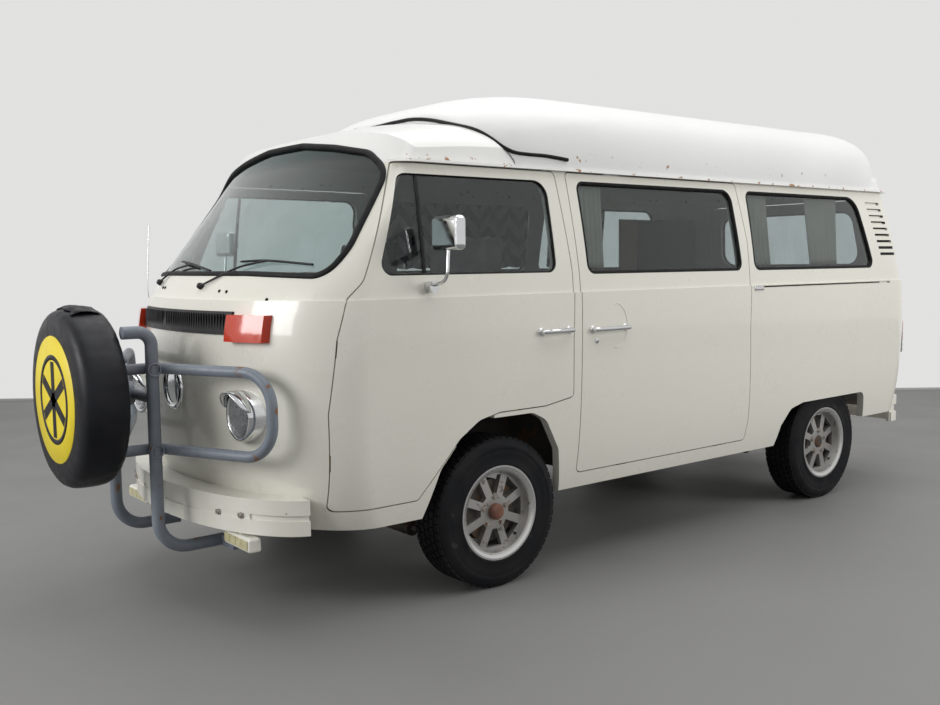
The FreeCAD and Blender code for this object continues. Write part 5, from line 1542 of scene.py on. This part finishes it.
@dataclass
class SpareCover:
    """A stretched vinyl cover over the spare wheel, with a printed disc."""

    centre: Point = (0, -2.276, 0.846)
    deep: float = 0.1845
    drawn_deep: float = 0.187
    disc: float = 0.245
    arm: Point = (0.29, 0.0018, 0.04)
    crease: float = 0.0045
    wrinkle: float = 0.003
    gather: float = 0.004
    gather_reach: float = 0.045
    gathers: int = 46
    flap_grid: tuple[int, int] = (5, 13)
    flap_start: float = 70
    flap_arc: float = 42
    flap_radius: float = 0.343
    flap_fold: float = 0.006
    flap_hem: float = 0.012
    profile: Profile = (
        (0.235, 0.012), (0.262, 0.002), (0.3, 0.001), (0.33, 0.008), (0.343, 0.03),
        (0.3455, 0.06), (0.3455, 0.095), (0.345, 0.125), (0.342, 0.148), (0.333, 0.167),
        (0.316, 0.179), (0.295, 0.184), (0.26, 0.1855), (0.2, 0.186), (0.13, 0.1865),
        (0.06, 0.187), (TIP, 0.187),
    )
    ring: Profile = ((0.172, 0.0), (0.171, 0.0024), (0.152, 0.0024), (0.151, 0.0))

    def shell(self) -> Piece:
        """The black cover, with a gathered edge behind and soft creases.

        Returns:
            The cover.
        """
        profile = [
            (radius, height * self.deep / self.drawn_deep) for radius, height in self.profile
        ]
        made = lathe("spare_cover_vinyl", profile, self.centre, AHEAD, VINYL, 160)
        for vertex in made.data.vertices:
            flat = Vector((vertex.co.x, 0, vertex.co.z - self.centre[2]))
            reach = flat.length
            if reach < 0.005:
                continue
            angle = math.atan2(flat.z, flat.x)
            depth = self.centre[1] - vertex.co.y
            creases = max(0.0, noise.noise(Vector((angle * 3.2, depth * 9, 3))))
            wrinkles = max(0.0, noise.noise(Vector((angle * 9, depth * 22, 7))))
            pull = self.crease * creases + self.wrinkle * wrinkles
            gather = max(0.0, 1 - depth / self.gather_reach) if reach > 0.22 else 0.0
            phase = angle * self.gathers + 3 * noise.noise(Vector((angle * 4, 0, 0)))
            pull += gather * self.gather * (0.5 + 0.5 * math.sin(phase))
            if reach > 0.27:
                vertex.co -= flat.normalized() * pull
            else:
                vertex.co.y += 0.25 * pull
        soften(made)
        return made

    def band(self, name: str, rings: Profile, finish: object) -> Piece:
        """A thin print that lies on the cover's face.

        Args:
            name: its name.
            rings: (radius, lift off the face) from outside to inside.
            finish: the print's finish.

        Returns:
            The print.
        """
        profile = [(radius, self.deep + lift) for radius, lift in rings]
        return lathe(name, profile, self.centre, AHEAD, finish, 96)

    def build(self) -> None:
        """Make the cover, its print and its loose flap."""
        shell = self.shell()
        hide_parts("spare_cover")
        hand_over(shell, "body")
        rings = ((self.disc, -0.0045), (self.disc - 0.003, 0.0008), (0.12, 0.001), (TIP, 0.0012))
        disc = self.band("spare_cover_disc", rings, YELLOW)
        hand_over(disc, "body")
        face = self.centre[1] - self.deep - 0.0012
        turns = [(0, math.radians(30 + 60 * arm), 0) for arm in range(3)]
        host = point_host([(0, face, self.centre[2])] * 3, turns)
        star = BLOCKS.grow("star", host, VINYL, Size=self.arm)
        ring = self.band("ring", self.ring, VINYL)
        hand_over(join("spare_cover_star", [star, ring]), "body")
        self.loose_flap()

    def loose_flap(self) -> None:
        """The loose flap that lies in folds on top of the cover."""
        points = []
        rows, count = self.flap_grid
        for row in range(rows):
            hem = self.flap_hem if row in (0, rows - 1) else 0
            for step in range(count):
                angle = math.radians(self.flap_start + self.flap_arc * step / (count - 1))
                waves = noise.noise(Vector((step * 0.8, row, 1)))
                fold = self.flap_fold * math.sin(step * 1.7 + row) + self.flap_fold * waves
                radius = self.flap_radius + self.flap_fold * row + fold * row / rows
                out = self.centre[1] - 0.02 - 0.03 * row + fold
                height = self.centre[2] + min(radius, 0.358) * math.sin(angle) - hem
                points.append((radius * math.cos(angle), out, height))
        flap = piece("spare_cover_flap", points, grid(rows, count), VINYL)
        thicken(flap, 0.0018)
        hand_over(flap, "body")


@dataclass
class Wheel:
    """One wheel's treaded tyre, nuts, cap and valve."""

    blocks: int = 58
    block: Point = (0.025, 0.028, 0.0075)
    block_radius: float = 0.3108
    rows: tuple[float, ...] = (-0.064, -0.032, 0.0, 0.032, 0.064)
    nuts: float = 0.062
    nut_size: float = 0.0105
    valve: float = 0.112
    valve_x: float = 0.79
    wall: Profile = (
        (0.1775, -0.076), (0.184, -0.086), (0.2, -0.091), (0.206, -0.0935), (0.209, -0.0915),
        (0.24, -0.0945), (0.262, -0.0955), (0.266, -0.0945), (0.2675, -0.0958), (0.281, -0.0925),
        (0.292, -0.0885), (0.303, -0.081), (0.3075, -0.0775),
    )
    crown: Profile = ((0.3078, -0.04), (0.3082, 0.0), (0.3078, 0.04))
    inner: Profile = (
        (0.19, 0.07), (0.26, 0.08), (0.29, 0.06), (0.295, 0.0),
        (0.29, -0.06), (0.26, -0.08), (0.19, -0.07),
    )

    def middle(self, word: str) -> Vector:
        """The middle of a wheel, from its tyre's CAD box."""
        low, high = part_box(f"tyre_{word}")
        return Vector(((low.x + high.x) / 2, (low.y + high.y) / 2, (low.z + high.z) / 2))

    def tyre(self, word: str, body: str) -> None:
        """The tyre with its grooves, blocks and sidewall ribs.

        Args:
            word: the wheel's place in words.
            body: what it rides on.
        """
        middle = self.middle(word)
        far_wall = tuple((radius, -across) for radius, across in reversed(self.wall))
        profile = (*self.wall, *self.crown, *far_wall, *self.inner, self.wall[0])
        carcass = lathe("carcass", profile, tuple(middle), LEFTWARD, TYRE, 96)
        spots, turns = [], []
        for number, across in enumerate(self.rows):
            for step in range(self.blocks):
                angle = 2 * math.pi * (step + 0.5 * (number % 2)) / self.blocks
                radial = Vector((0, -math.sin(angle), math.cos(angle)))
                spots.append(middle + radial * self.block_radius + Vector((across, 0, 0)))
                turns.append((angle, 0, 0.0))
        tread = BLOCKS.grow("tread", point_host(spots, turns), TYRE, Size=self.block)
        made = join(f"tyre_tread_{word}", [carcass, tread])
        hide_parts(f"tyre_{word}")
        hand_over(made, body)

    def centre(self, word: str, body: str, side: Side) -> None:
        """Wheel nuts, the hub's cap and the valve.

        Args:
            word: the wheel's place in words.
            body: what it rides on.
            side: its side.
        """
        middle = self.middle(word)
        skin = Skin(f"rim_{word}")
        out = (side.value, 0, 0)
        spots = []
        for step in range(5):
            angle = 2 * math.pi * step / 5 + 0.3
            along, rise = self.nuts * math.cos(angle), self.nuts * math.sin(angle)
            spots.append(skin.side(middle.y + along, middle.z + rise, side))
        hand_over(bolts(f"wheel_nuts_{word}", spots, [out] * 5, self.nut_size, ZINC), body)
        front = "front" in word
        deep, look = (0.034, HUB_RUST) if front else (0.012, STEEL)
        rim = [(0.034, -0.03), (0.034, deep * 0.6), (0.029, deep * 0.85)]
        cap = [*rim, (0.016, deep), (TIP, deep)]
        place = skin.side(middle.y + 0.04, middle.z, side)
        place = Vector((place.x - side.value * 0.004, middle.y, middle.z))
        if abs(place.x) > abs(middle.x) + 0.09:
            place.x = middle.x + side.value * 0.06
        hand_over(lathe(f"hub_cap_{word}", cap, tuple(place), out, look, 40), body)
        foot = skin.side(middle.y + 0.11, middle.z - 0.11, side)
        across = min(abs(foot.x), self.valve_x) * side.value
        foot = Vector((across, middle.y + self.valve, middle.z - self.valve))
        valve = [(0.004, -0.03), (0.004, 0.01), (0.0032, 0.012), (TIP, 0.0122)]
        hand_over(lathe(f"valve_{word}", valve, tuple(foot), out, RUBBER, 12), body)

    def build(self) -> None:
        """Make all four wheels' pieces."""
        for side in Side:
            for end in ("front", "rear"):
                word = f"{end}_{side.name.lower()}"
                self.tyre(word, f"wheel_{word}")
                self.centre(word, f"wheel_{word}", side)


@dataclass
class Handles:
    """Chrome handles and locks on the doors, the slider and the tail."""

    reach: float = 0.034
    bar: float = 0.0105
    door_ends: tuple[float, float] = (-0.745, -0.585)
    door_z: float = 1.055
    slider_ends: tuple[float, float] = (-0.44, -0.235)
    slider_z: float = 1.05
    slider_lock: tuple[float, float] = (-0.416, 0.998)
    recess_at: tuple[float, float] = (-0.3, 1.06)
    recess_size: tuple[float, float] = (0.078, 0.1)
    tail_z: float = 1.06
    lid_z: float = 0.88

    def pull(
        self, name: str, body: str, skin: Skin, side: Side, ends: tuple[float, float], height: float
    ) -> None:
        """A chrome pull on two feet.

        Args:
            name: the piece's name.
            body: what it rides on.
            skin: the door's skin.
            side: its side.
            ends: where it starts and ends along Y.
            height: its height.
        """
        out = Vector((side.value, 0, 0))
        start, end = ends
        touch = [skin.side(y, height, side) for y in (start, (start + end) / 2, end)]
        lifts = (self.reach * 0.8, self.reach, self.reach * 0.8)
        first, middle, last = (spot + out * lift for spot, lift in zip(touch, lifts))
        sunk = [skin.side(y, height, side, -0.004) for y in ends]
        bends = [first, first.lerp(middle, 0.4), middle, middle.lerp(last, 0.6), last]
        line = path_of([sunk[0], *bends, sunk[1]], every=0.006)
        grip = bead("grip", [(line, False)], self.bar, CHROME, 14)
        for vertex in grip.data.vertices:
            vertex.co.x = touch[1].x + (vertex.co.x - touch[1].x) * 0.95
        foot = [(0.017, -0.004), (0.017, 0.003), (0.013, 0.006), (TIP, 0.0065)]
        feet = [lathe("foot", foot, tuple(spot), tuple(out), CHROME, 24) for spot in touch[::2]]
        hand_over(join(name, [grip, *feet]), body)

    def lock(self, name: str, body: str, spot: Vector, way: Point) -> None:
        """A small round lock with a keyhole.

        Args:
            name: the piece's name.
            body: what it rides on.
            spot: where it sits.
            way: the direction outwards.
        """
        profile = [(0.011, -0.003), (0.011, 0.003), (0.008, 0.005), (TIP, 0.005)]
        plate = lathe("plate", profile, tuple(spot), way, CHROME, 24)
        slot = slab(
            "slot", tuple(spot + Vector(way) * 0.005), (0.002, 0.002, 0.009), RUBBER, 0.0004
        )
        hand_over(join(name, [plate, slot]), body)

    def build(self) -> None:
        """Make every handle and lock."""
        for side in Side:
            word = side.name.lower()
            body = f"front_door_{word}"
            self.pull(f"door_handle_{word}", body, Skin(body), side, self.door_ends, self.door_z)
        slider = Skin("sliding_door")
        self.pull("slider_handle", "body", slider, Side.LEFT, self.slider_ends, self.slider_z)
        self.lock("slider_lock", "body", slider.side(*self.slider_lock, Side.LEFT), LEFTWARD)
        self.recess(slider)
        tail = Skin("tailgate", "engine_lid", "rear_panel")
        grip = [
            (0.02, -0.004), (0.02, 0.01), (0.026, 0.014), (0.026, 0.024), (0.02, 0.028),
            (TIP, 0.029),
        ]
        knob = lathe("tailgate_handle", grip, tuple(tail.back(0, self.tail_z)), BEHIND, CHROME, 36)
        hand_over(knob, "tailgate")
        self.lock("engine_lid_lock", "engine_lid", tail.back(0, self.lid_z), BEHIND)

    def recess(self, slider: Skin) -> None:
        """The pressed edge round the slider's handle.

        Args:
            slider: the sliding door's surface.
        """
        line = []
        middle, level = self.recess_at
        wide, tall = self.recess_size
        for angle in np.linspace(-1.9, 1.9, 30):
            across = math.cos(angle) * wide + (0.02 if math.cos(angle) < 0 else 0)
            height = level + math.sin(angle) * tall
            line.append(slider.side(middle + across, height, Side.LEFT, -0.0005))
        hand_over(
            bead("slider_recess_edge", [(line, False)], 0.0025, BODY, 8), "body"
        )


@dataclass
class SideTrim:
    """Slide rail cap, louvre shadows and rail seam."""

    rail_z: float = 1.205
    rail_span: tuple[float, float, int] = (0.745, 1.95, 24)
    rail_cap: Point = (0.026, 0.075, 0.022)
    rail_cap_y: float = 0.765
    slots: int = 9
    slot_half: float = 0.0115
    slot_steps: int = 8
    first_slot: Point = (1.896, 2.05, 1.694)
    slot_drift: Point = (0.094, 0.1, -0.342)

    def build(self) -> None:
        """Make the side's small pieces."""
        skin = Skin("side_panel_left", "sliding_door")
        line = [skin.side(y, self.rail_z, Side.LEFT, -0.001) for y in np.linspace(*self.rail_span)]
        hand_over(bead("slide_rail_seam", [(line, False)], 0.0035, RUBBER, 6), "body")
        spot = skin.side(self.rail_cap_y, self.rail_z - 0.004, Side.LEFT)
        place = (spot.x + 0.006, self.rail_cap_y, self.rail_z - 0.006)
        hand_over(slab("slide_rail_cap", place, self.rail_cap, CHROME, 0.006), "body")
        for side in Side:
            word = side.name.lower()
            panel = Skin(f"side_panel_{word}")
            points, faces = [], []
            for row in range(self.slots):
                share = (row + 0.5) / self.slots
                steps = zip(self.first_slot, self.slot_drift)
                start, end, height = (first + drift * share for first, drift in steps)
                for step in range(self.slot_steps + 1):
                    y = start + (end - start) * step / self.slot_steps
                    for rise in (-self.slot_half, self.slot_half):
                        points.append(panel.side(y, height + rise, side, -0.0012))
                base = row * 2 * (self.slot_steps + 1)
                starts = range(base, base + 2 * self.slot_steps, 2)
                faces += [(k, k + 2, k + 3, k + 1) for k in starts]
            # Thin near-black sheets of painted shade, standing in for the shade inside the louvre
            # slots.
            painted_shade = piece(f"louvre_slots_{word}", points, faces, PAINTED_SHADE, False)
            thicken(painted_shade, 0.001)
            hand_over(painted_shade, "body")


@dataclass
class Curtains:
    """Gathered curtains at the side windows."""

    height: float = 0.375
    top: float = 1.69
    rows: int = 14
    wire_x: float = 0.735
    wire_z: float = 1.688
    wire_ends: Profile = ((-0.46, 0.65), (0.76, 1.8))
    cloths: tuple[tuple, ...] = (
        ("curtain_slider_front", 0.765, -0.425, -0.27, 5, 0.011, CURTAIN, -0.02),
        ("curtain_rear_left_front", 0.765, 0.79, 0.97, 6, 0.011, CURTAIN, 0.03),
        ("curtain_rear_left_back", 0.765, 1.32, 1.64, 9, 0.012, CURTAIN, -0.05),
        ("curtain_far_front", -0.765, -0.43, 0.62, 10, 0.007, CHEVRON, 0.0),
        ("curtain_far_rear", -0.765, 0.8, 1.3, 6, 0.007, CHEVRON, 0.0),
    )

    def hang(
        self, name: str, x: float, start: float, end: float, folds: int, deep: float,
        finish: object, lean: float,
    ) -> None:
        """One curtain, gathered in folds on a wire.

        Args:
            name: its name.
            x: where it hangs.
            start: its front edge along Y at the top.
            end: its rear edge along Y at the top.
            folds: how many folds.
            deep: how deep each fold is.
            finish: its cloth.
            lean: how far its foot spreads along Y.
        """
        count, rows = folds * 10 + 1, self.rows
        points, spread = [], []
        for row in range(rows):
            down = row / (rows - 1)
            shift = -math.copysign(0.03, x) * (1 - down) + math.copysign(0.004, x) * down
            length = 0.0
            before = None
            for step in range(count):
                share = step / (count - 1)
                phase = 2 * math.pi * folds * share
                drift = noise.noise(Vector((share * 6, down * 1.5, x * 9)))
                across = x + deep * (0.6 + 0.5 * down + 0.35 * drift) * math.sin(phase)
                along = start + (end - start) * share + lean * down * (share - 0.5)
                height = self.top - self.height * down - 0.004 * math.sin(phase)
                spot = Vector((across, along + 0.3 * deep * math.sin(2 * phase), height))
                spot.x += shift
                if before is not None:
                    length += (spot - before).length
                before = spot
                points.append(spot)
            spread.append(length)
        made = piece(name, points, grid(rows, count), finish)
        width = sum(spread) / rows
        layer = made.data.uv_layers.new(name="UVMap")
        for loop in made.data.loops:
            fall = self.top - made.data.vertices[loop.vertex_index].co.z
            share = (loop.vertex_index % count) / (count - 1)
            layer.data[loop.index].uv = (share * width, fall)
        thicken(made, 0.0012)
        hand_over(made, "body")

    def build(self) -> None:
        """Hang every curtain."""
        for cloth in self.cloths:
            self.hang(*cloth)
        wires = []
        for sign in (-1, 1):
            for ends in self.wire_ends:
                wires.append(([(sign * self.wire_x, y, self.wire_z) for y in ends], False))
        hand_over(bead("curtain_wires", wires, 0.002, ZINC, 6), "body")


@dataclass
class Cushions:
    """Padded seats, rear bench and mattress, each swollen from its CAD block."""

    cell: float = 0.006
    cap: float = 0.012
    shrink: float = 0.012
    cells_along: int = 42
    frames: int = 20
    rounding: float = 0.3
    longest_edge: float = 0.05
    cuts: int = 7
    pressure: float = 4
    cab_span: tuple[float, float] = (0.17, 0.63)
    cab_back: tuple[float, float] = (0.19, 0.06)
    seat_thick: float = 0.15
    bench_thick: float = 0.16
    back_thick: float = 0.13

    def block(
        self, name: str, low: Vector, high: Vector, finish: object, lean: float = 0.0
    ) -> Piece:
        """A stuffed block in a box's space.

        Args:
            name: its name.
            low: the box's lowest corner.
            high: the box's highest corner.
            finish: its cloth.
            lean: how far its top leans back along Y.

        Returns:
            The padded piece.
        """
        size = high - low - Vector((2, 2, 2)) * self.shrink
        middle = (low + high) / 2
        made = slab(name, tuple(middle), tuple(size), finish, min(size) * self.rounding)
        cut = bmesh.new()
        cut.from_mesh(made.data)
        long = [edge for edge in cut.edges if edge.calc_length() > self.longest_edge]
        bmesh.ops.subdivide_edges(cut, edges=long, cuts=self.cuts, use_grid_fill=True)
        cut.to_mesh(made.data)
        cut.free()
        self.swell(made)
        for vertex in made.data.vertices:
            vertex.co.y += lean * (vertex.co.z - low.z) / (high.z - low.z)
        for face in made.data.polygons:
            face.use_smooth = True
        self.unwrap(made)
        soften(made, 0)
        return made

    def swell(self, made: Piece) -> None:
        """Inflate a block with a short cloth run, keeping each point near its start.

        Args:
            made: the block.
        """
        remesh = made.modifiers.new("cells", "REMESH")
        remesh.mode = "VOXEL"
        remesh.voxel_size = max(self.cell, max(made.dimensions) / self.cells_along)
        seen = made.evaluated_get(bpy.context.evaluated_depsgraph_get())
        mesh = bpy.data.meshes.new_from_object(seen)
        made.modifiers.clear()
        made.data = mesh
        start = [v.co.copy() for v in mesh.vertices]
        cloth = made.modifiers.new("cloth", "CLOTH")
        cloth.settings.use_pressure = True
        cloth.settings.uniform_pressure_force = self.pressure
        cloth.settings.effector_weights.gravity = 0
        cloth.point_cache.frame_start, cloth.point_cache.frame_end = 1, self.frames
        scene = bpy.context.scene
        for number in range(1, self.frames + 1):
            scene.frame_set(number)
        seen = made.evaluated_get(bpy.context.evaluated_depsgraph_get())
        result = bpy.data.meshes.new_from_object(seen)
        made.modifiers.clear()
        made.data = result
        scene.frame_set(1)
        for vertex, origin in zip(result.vertices, start):
            move = vertex.co - origin
            if move.length > self.cap:
                vertex.co = origin + move.normalized() * self.cap

    def unwrap(self, made: Piece) -> None:
        """Lay a plain box map over a cushion, in metres.

        Args:
            made: the cushion.
        """
        while made.data.uv_layers:
            made.data.uv_layers.remove(made.data.uv_layers[0])
        layer = made.data.uv_layers.new(name="UVMap")
        for face in made.data.polygons:
            flat = max(range(3), key=lambda i: abs(face.normal[i]))
            first, second = (i for i in range(3) if i != flat)
            for index in face.loop_indices:
                spot = made.data.vertices[made.data.loops[index].vertex_index].co
                layer.data[index].uv = (spot[first], spot[second])

    def finish_off(self, node: str, *parts: Piece) -> None:
        """Hide one CAD node and place the cushions that stand for it.

        Args:
            node: the CAD node.
            *parts: the cushions.
        """
        for part in parts:
            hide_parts(node)
            hand_over(part, "body")

    def build(self) -> None:
        """Make every cushion."""
        low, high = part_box("cab_seats")
        parts = []
        for side in Side:
            word = side.name.lower()
            inner, outer = sorted(side.value * x for x in self.cab_span)
            top = low.z + self.seat_thick
            seat = (Vector((inner, low.y, low.z)), Vector((outer, high.y - 0.1, top)))
            front, rear = (high.y - inset for inset in self.cab_back)
            back = (Vector((inner, front, low.z + 0.14)), Vector((outer, rear, high.z)))
            parts.append(self.block(f"cab_seat_{word}", *seat, GREY_CLOTH))
            parts.append(self.block(f"cab_back_{word}", *back, GREY_CLOTH, 0.05))
        self.finish_off("cab_seats", *parts)
        low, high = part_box("rear_seat")
        seat = (low.copy(), Vector((high.x, high.y, low.z + self.bench_thick)))
        foot = low.z + self.seat_thick
        back = (Vector((low.x, high.y - self.back_thick, foot)), high.copy())
        bench = [self.block("rear_bench_seat", *seat, UPHOLSTERY)]
        bench.append(self.block("rear_bench_back", *back, UPHOLSTERY))
        self.finish_off("rear_seat", *bench)
        low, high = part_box("mattress")
        self.finish_off(
            "mattress", self.block("rear_mattress", low.copy(), high.copy(), UPHOLSTERY)
        )


@dataclass
class Interior:
    """Wooden board, a near-black slab of painted shade for the shaded cupboard, and cabinet knobs,
    seen through the windows.
    """

    board: tuple[Point, Point] = ((-0.64, 1.42, 1.34), (0.02, 0.16, 0.56))
    # Where the near-black slab of painted shade stands.
    painted_shade: tuple[Point, Point] = ((-0.66, 1.82, 1.34), (0.02, 0.64, 0.56))
    knob_z: float = 0.9

    def build(self) -> None:
        """Make the inner fittings."""
        # The second slab is near-black painted shade, standing in for the shaded cupboard behind
        # the windows.
        for name, place, finish in (("board", self.board, PINE), ("painted_shade", self.painted_shade, PAINTED_SHADE)):
            hand_over(slab(f"cupboard_{name}", *place, finish, 0.004), "body")
        low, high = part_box("cabinet")
        spots = [(high.x, low.y + 0.2 + 0.25 * step, self.knob_z) for step in range(3)]
        hand_over(bolts("cabinet_knobs", spots, [LEFTWARD] * 3, 0.012, ZINC), "body")


@dataclass
class RoofTrim:
    """The black rubber round the front of the lifting top."""

    bead_size: float = 0.008
    middle: float = 0.6
    squash: float = 0.55
    ends: float = -0.45

    def build(self) -> None:
        """Make the seal round the lifting top's rim."""
        best: dict[int, tuple[float, Vector]] = {}
        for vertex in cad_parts["pop_top"].data.vertices:
            along = (vertex.co.y - self.middle) * self.squash
            cell = round(math.degrees(math.atan2(vertex.co.x, -along)) / 2.5)
            reach = math.hypot(vertex.co.x, along)
            if reach > best.get(cell, (0.0, None))[0]:
                best[cell] = (reach, vertex.co.copy())
        line = [best[cell][1] for cell in sorted(best) if best[cell][1].y < self.ends]
        for _ in range(2):
            inner = [(a + b * 2 + c) / 4 for a, b, c in zip(line, line[1:], line[2:])]
            line = [line[0], *inner, line[-1]]
        outside = []
        for spot in line:
            way = Vector((spot.x, (spot.y - self.middle) * self.squash, 0)).normalized()
            outside.append(spot + way * 0.007)
        seal = bead("top_front_seal", [(path_of(outside), False)], self.bead_size, RUBBER)
        hand_over(seal, "pop_top")


@dataclass
class Tail:
    """Blank rear plate and the rear lamps."""

    plate: Point = (0.5, 0.003, 0.11)
    plate_z: float = 0.74
    lamp_x: float = 0.735
    lamp_z: float = 0.865
    lamp_frame: Point = (0.112, 0.02, 0.196)
    cell_size: tuple[float, float] = (0.1, 0.034)
    plate_bolts: tuple[float, float] = (-0.22, 0.22)
    cells: tuple[tuple, ...] = (
        (-0.062, 0.056, FOG_LENS), (0.0, 0.062, RED), (0.062, 0.056, ORANGE)
    )

    def build(self) -> None:
        """Make the tail's pieces."""
        panel = Skin("rear_panel", "side_panel_left", "side_panel_right")
        for side in Side:
            x = side.value * self.lamp_x
            out = panel.back(x, self.lamp_z).y
            parts = []
            for shift, tall, look in self.cells:
                place = (x, out + 0.012, self.lamp_z + shift)
                parts.append(slab("cell", place, (*self.cell_size, tall), look, 0.008))
            place = (x, out + 0.002, self.lamp_z)
            parts.append(slab("frame", place, self.lamp_frame, CHROME, 0.006))
            lamp = join(f"tail_lamp_{side.name.lower()}", parts)
            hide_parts("tail_lamps")
            hand_over(lamp, "body")
        out = Skin("engine_lid", "rear_panel").back(0, self.plate_z).y
        plate = slab("blank_plate", (0, out + 0.004, self.plate_z), self.plate, PLATE, 0.001)
        hand_over(plate, "engine_lid")
        spots = [(x, out + 0.0055, self.plate_z) for x in self.plate_bolts]
        hand_over(bolts("plate_bolts", spots, [BEHIND] * 2, 0.006, ZINC), "engine_lid")


PARTS: tuple[type, ...] = (
    Glazing, Nose, Bumpers, Guard, SpareCover, Wheel, Handles,
    SideTrim, Curtains, Cushions, Interior, RoofTrim, Tail,
)


def main() -> None:
    """Build the studio and every sub-assembly in order."""
    logging.basicConfig(level=logging.INFO, format="%(message)s")
    Studio().build()
    dress_nodes()
    for part in PARTS:
        part().build()


if __name__ == "__main__":
    main()
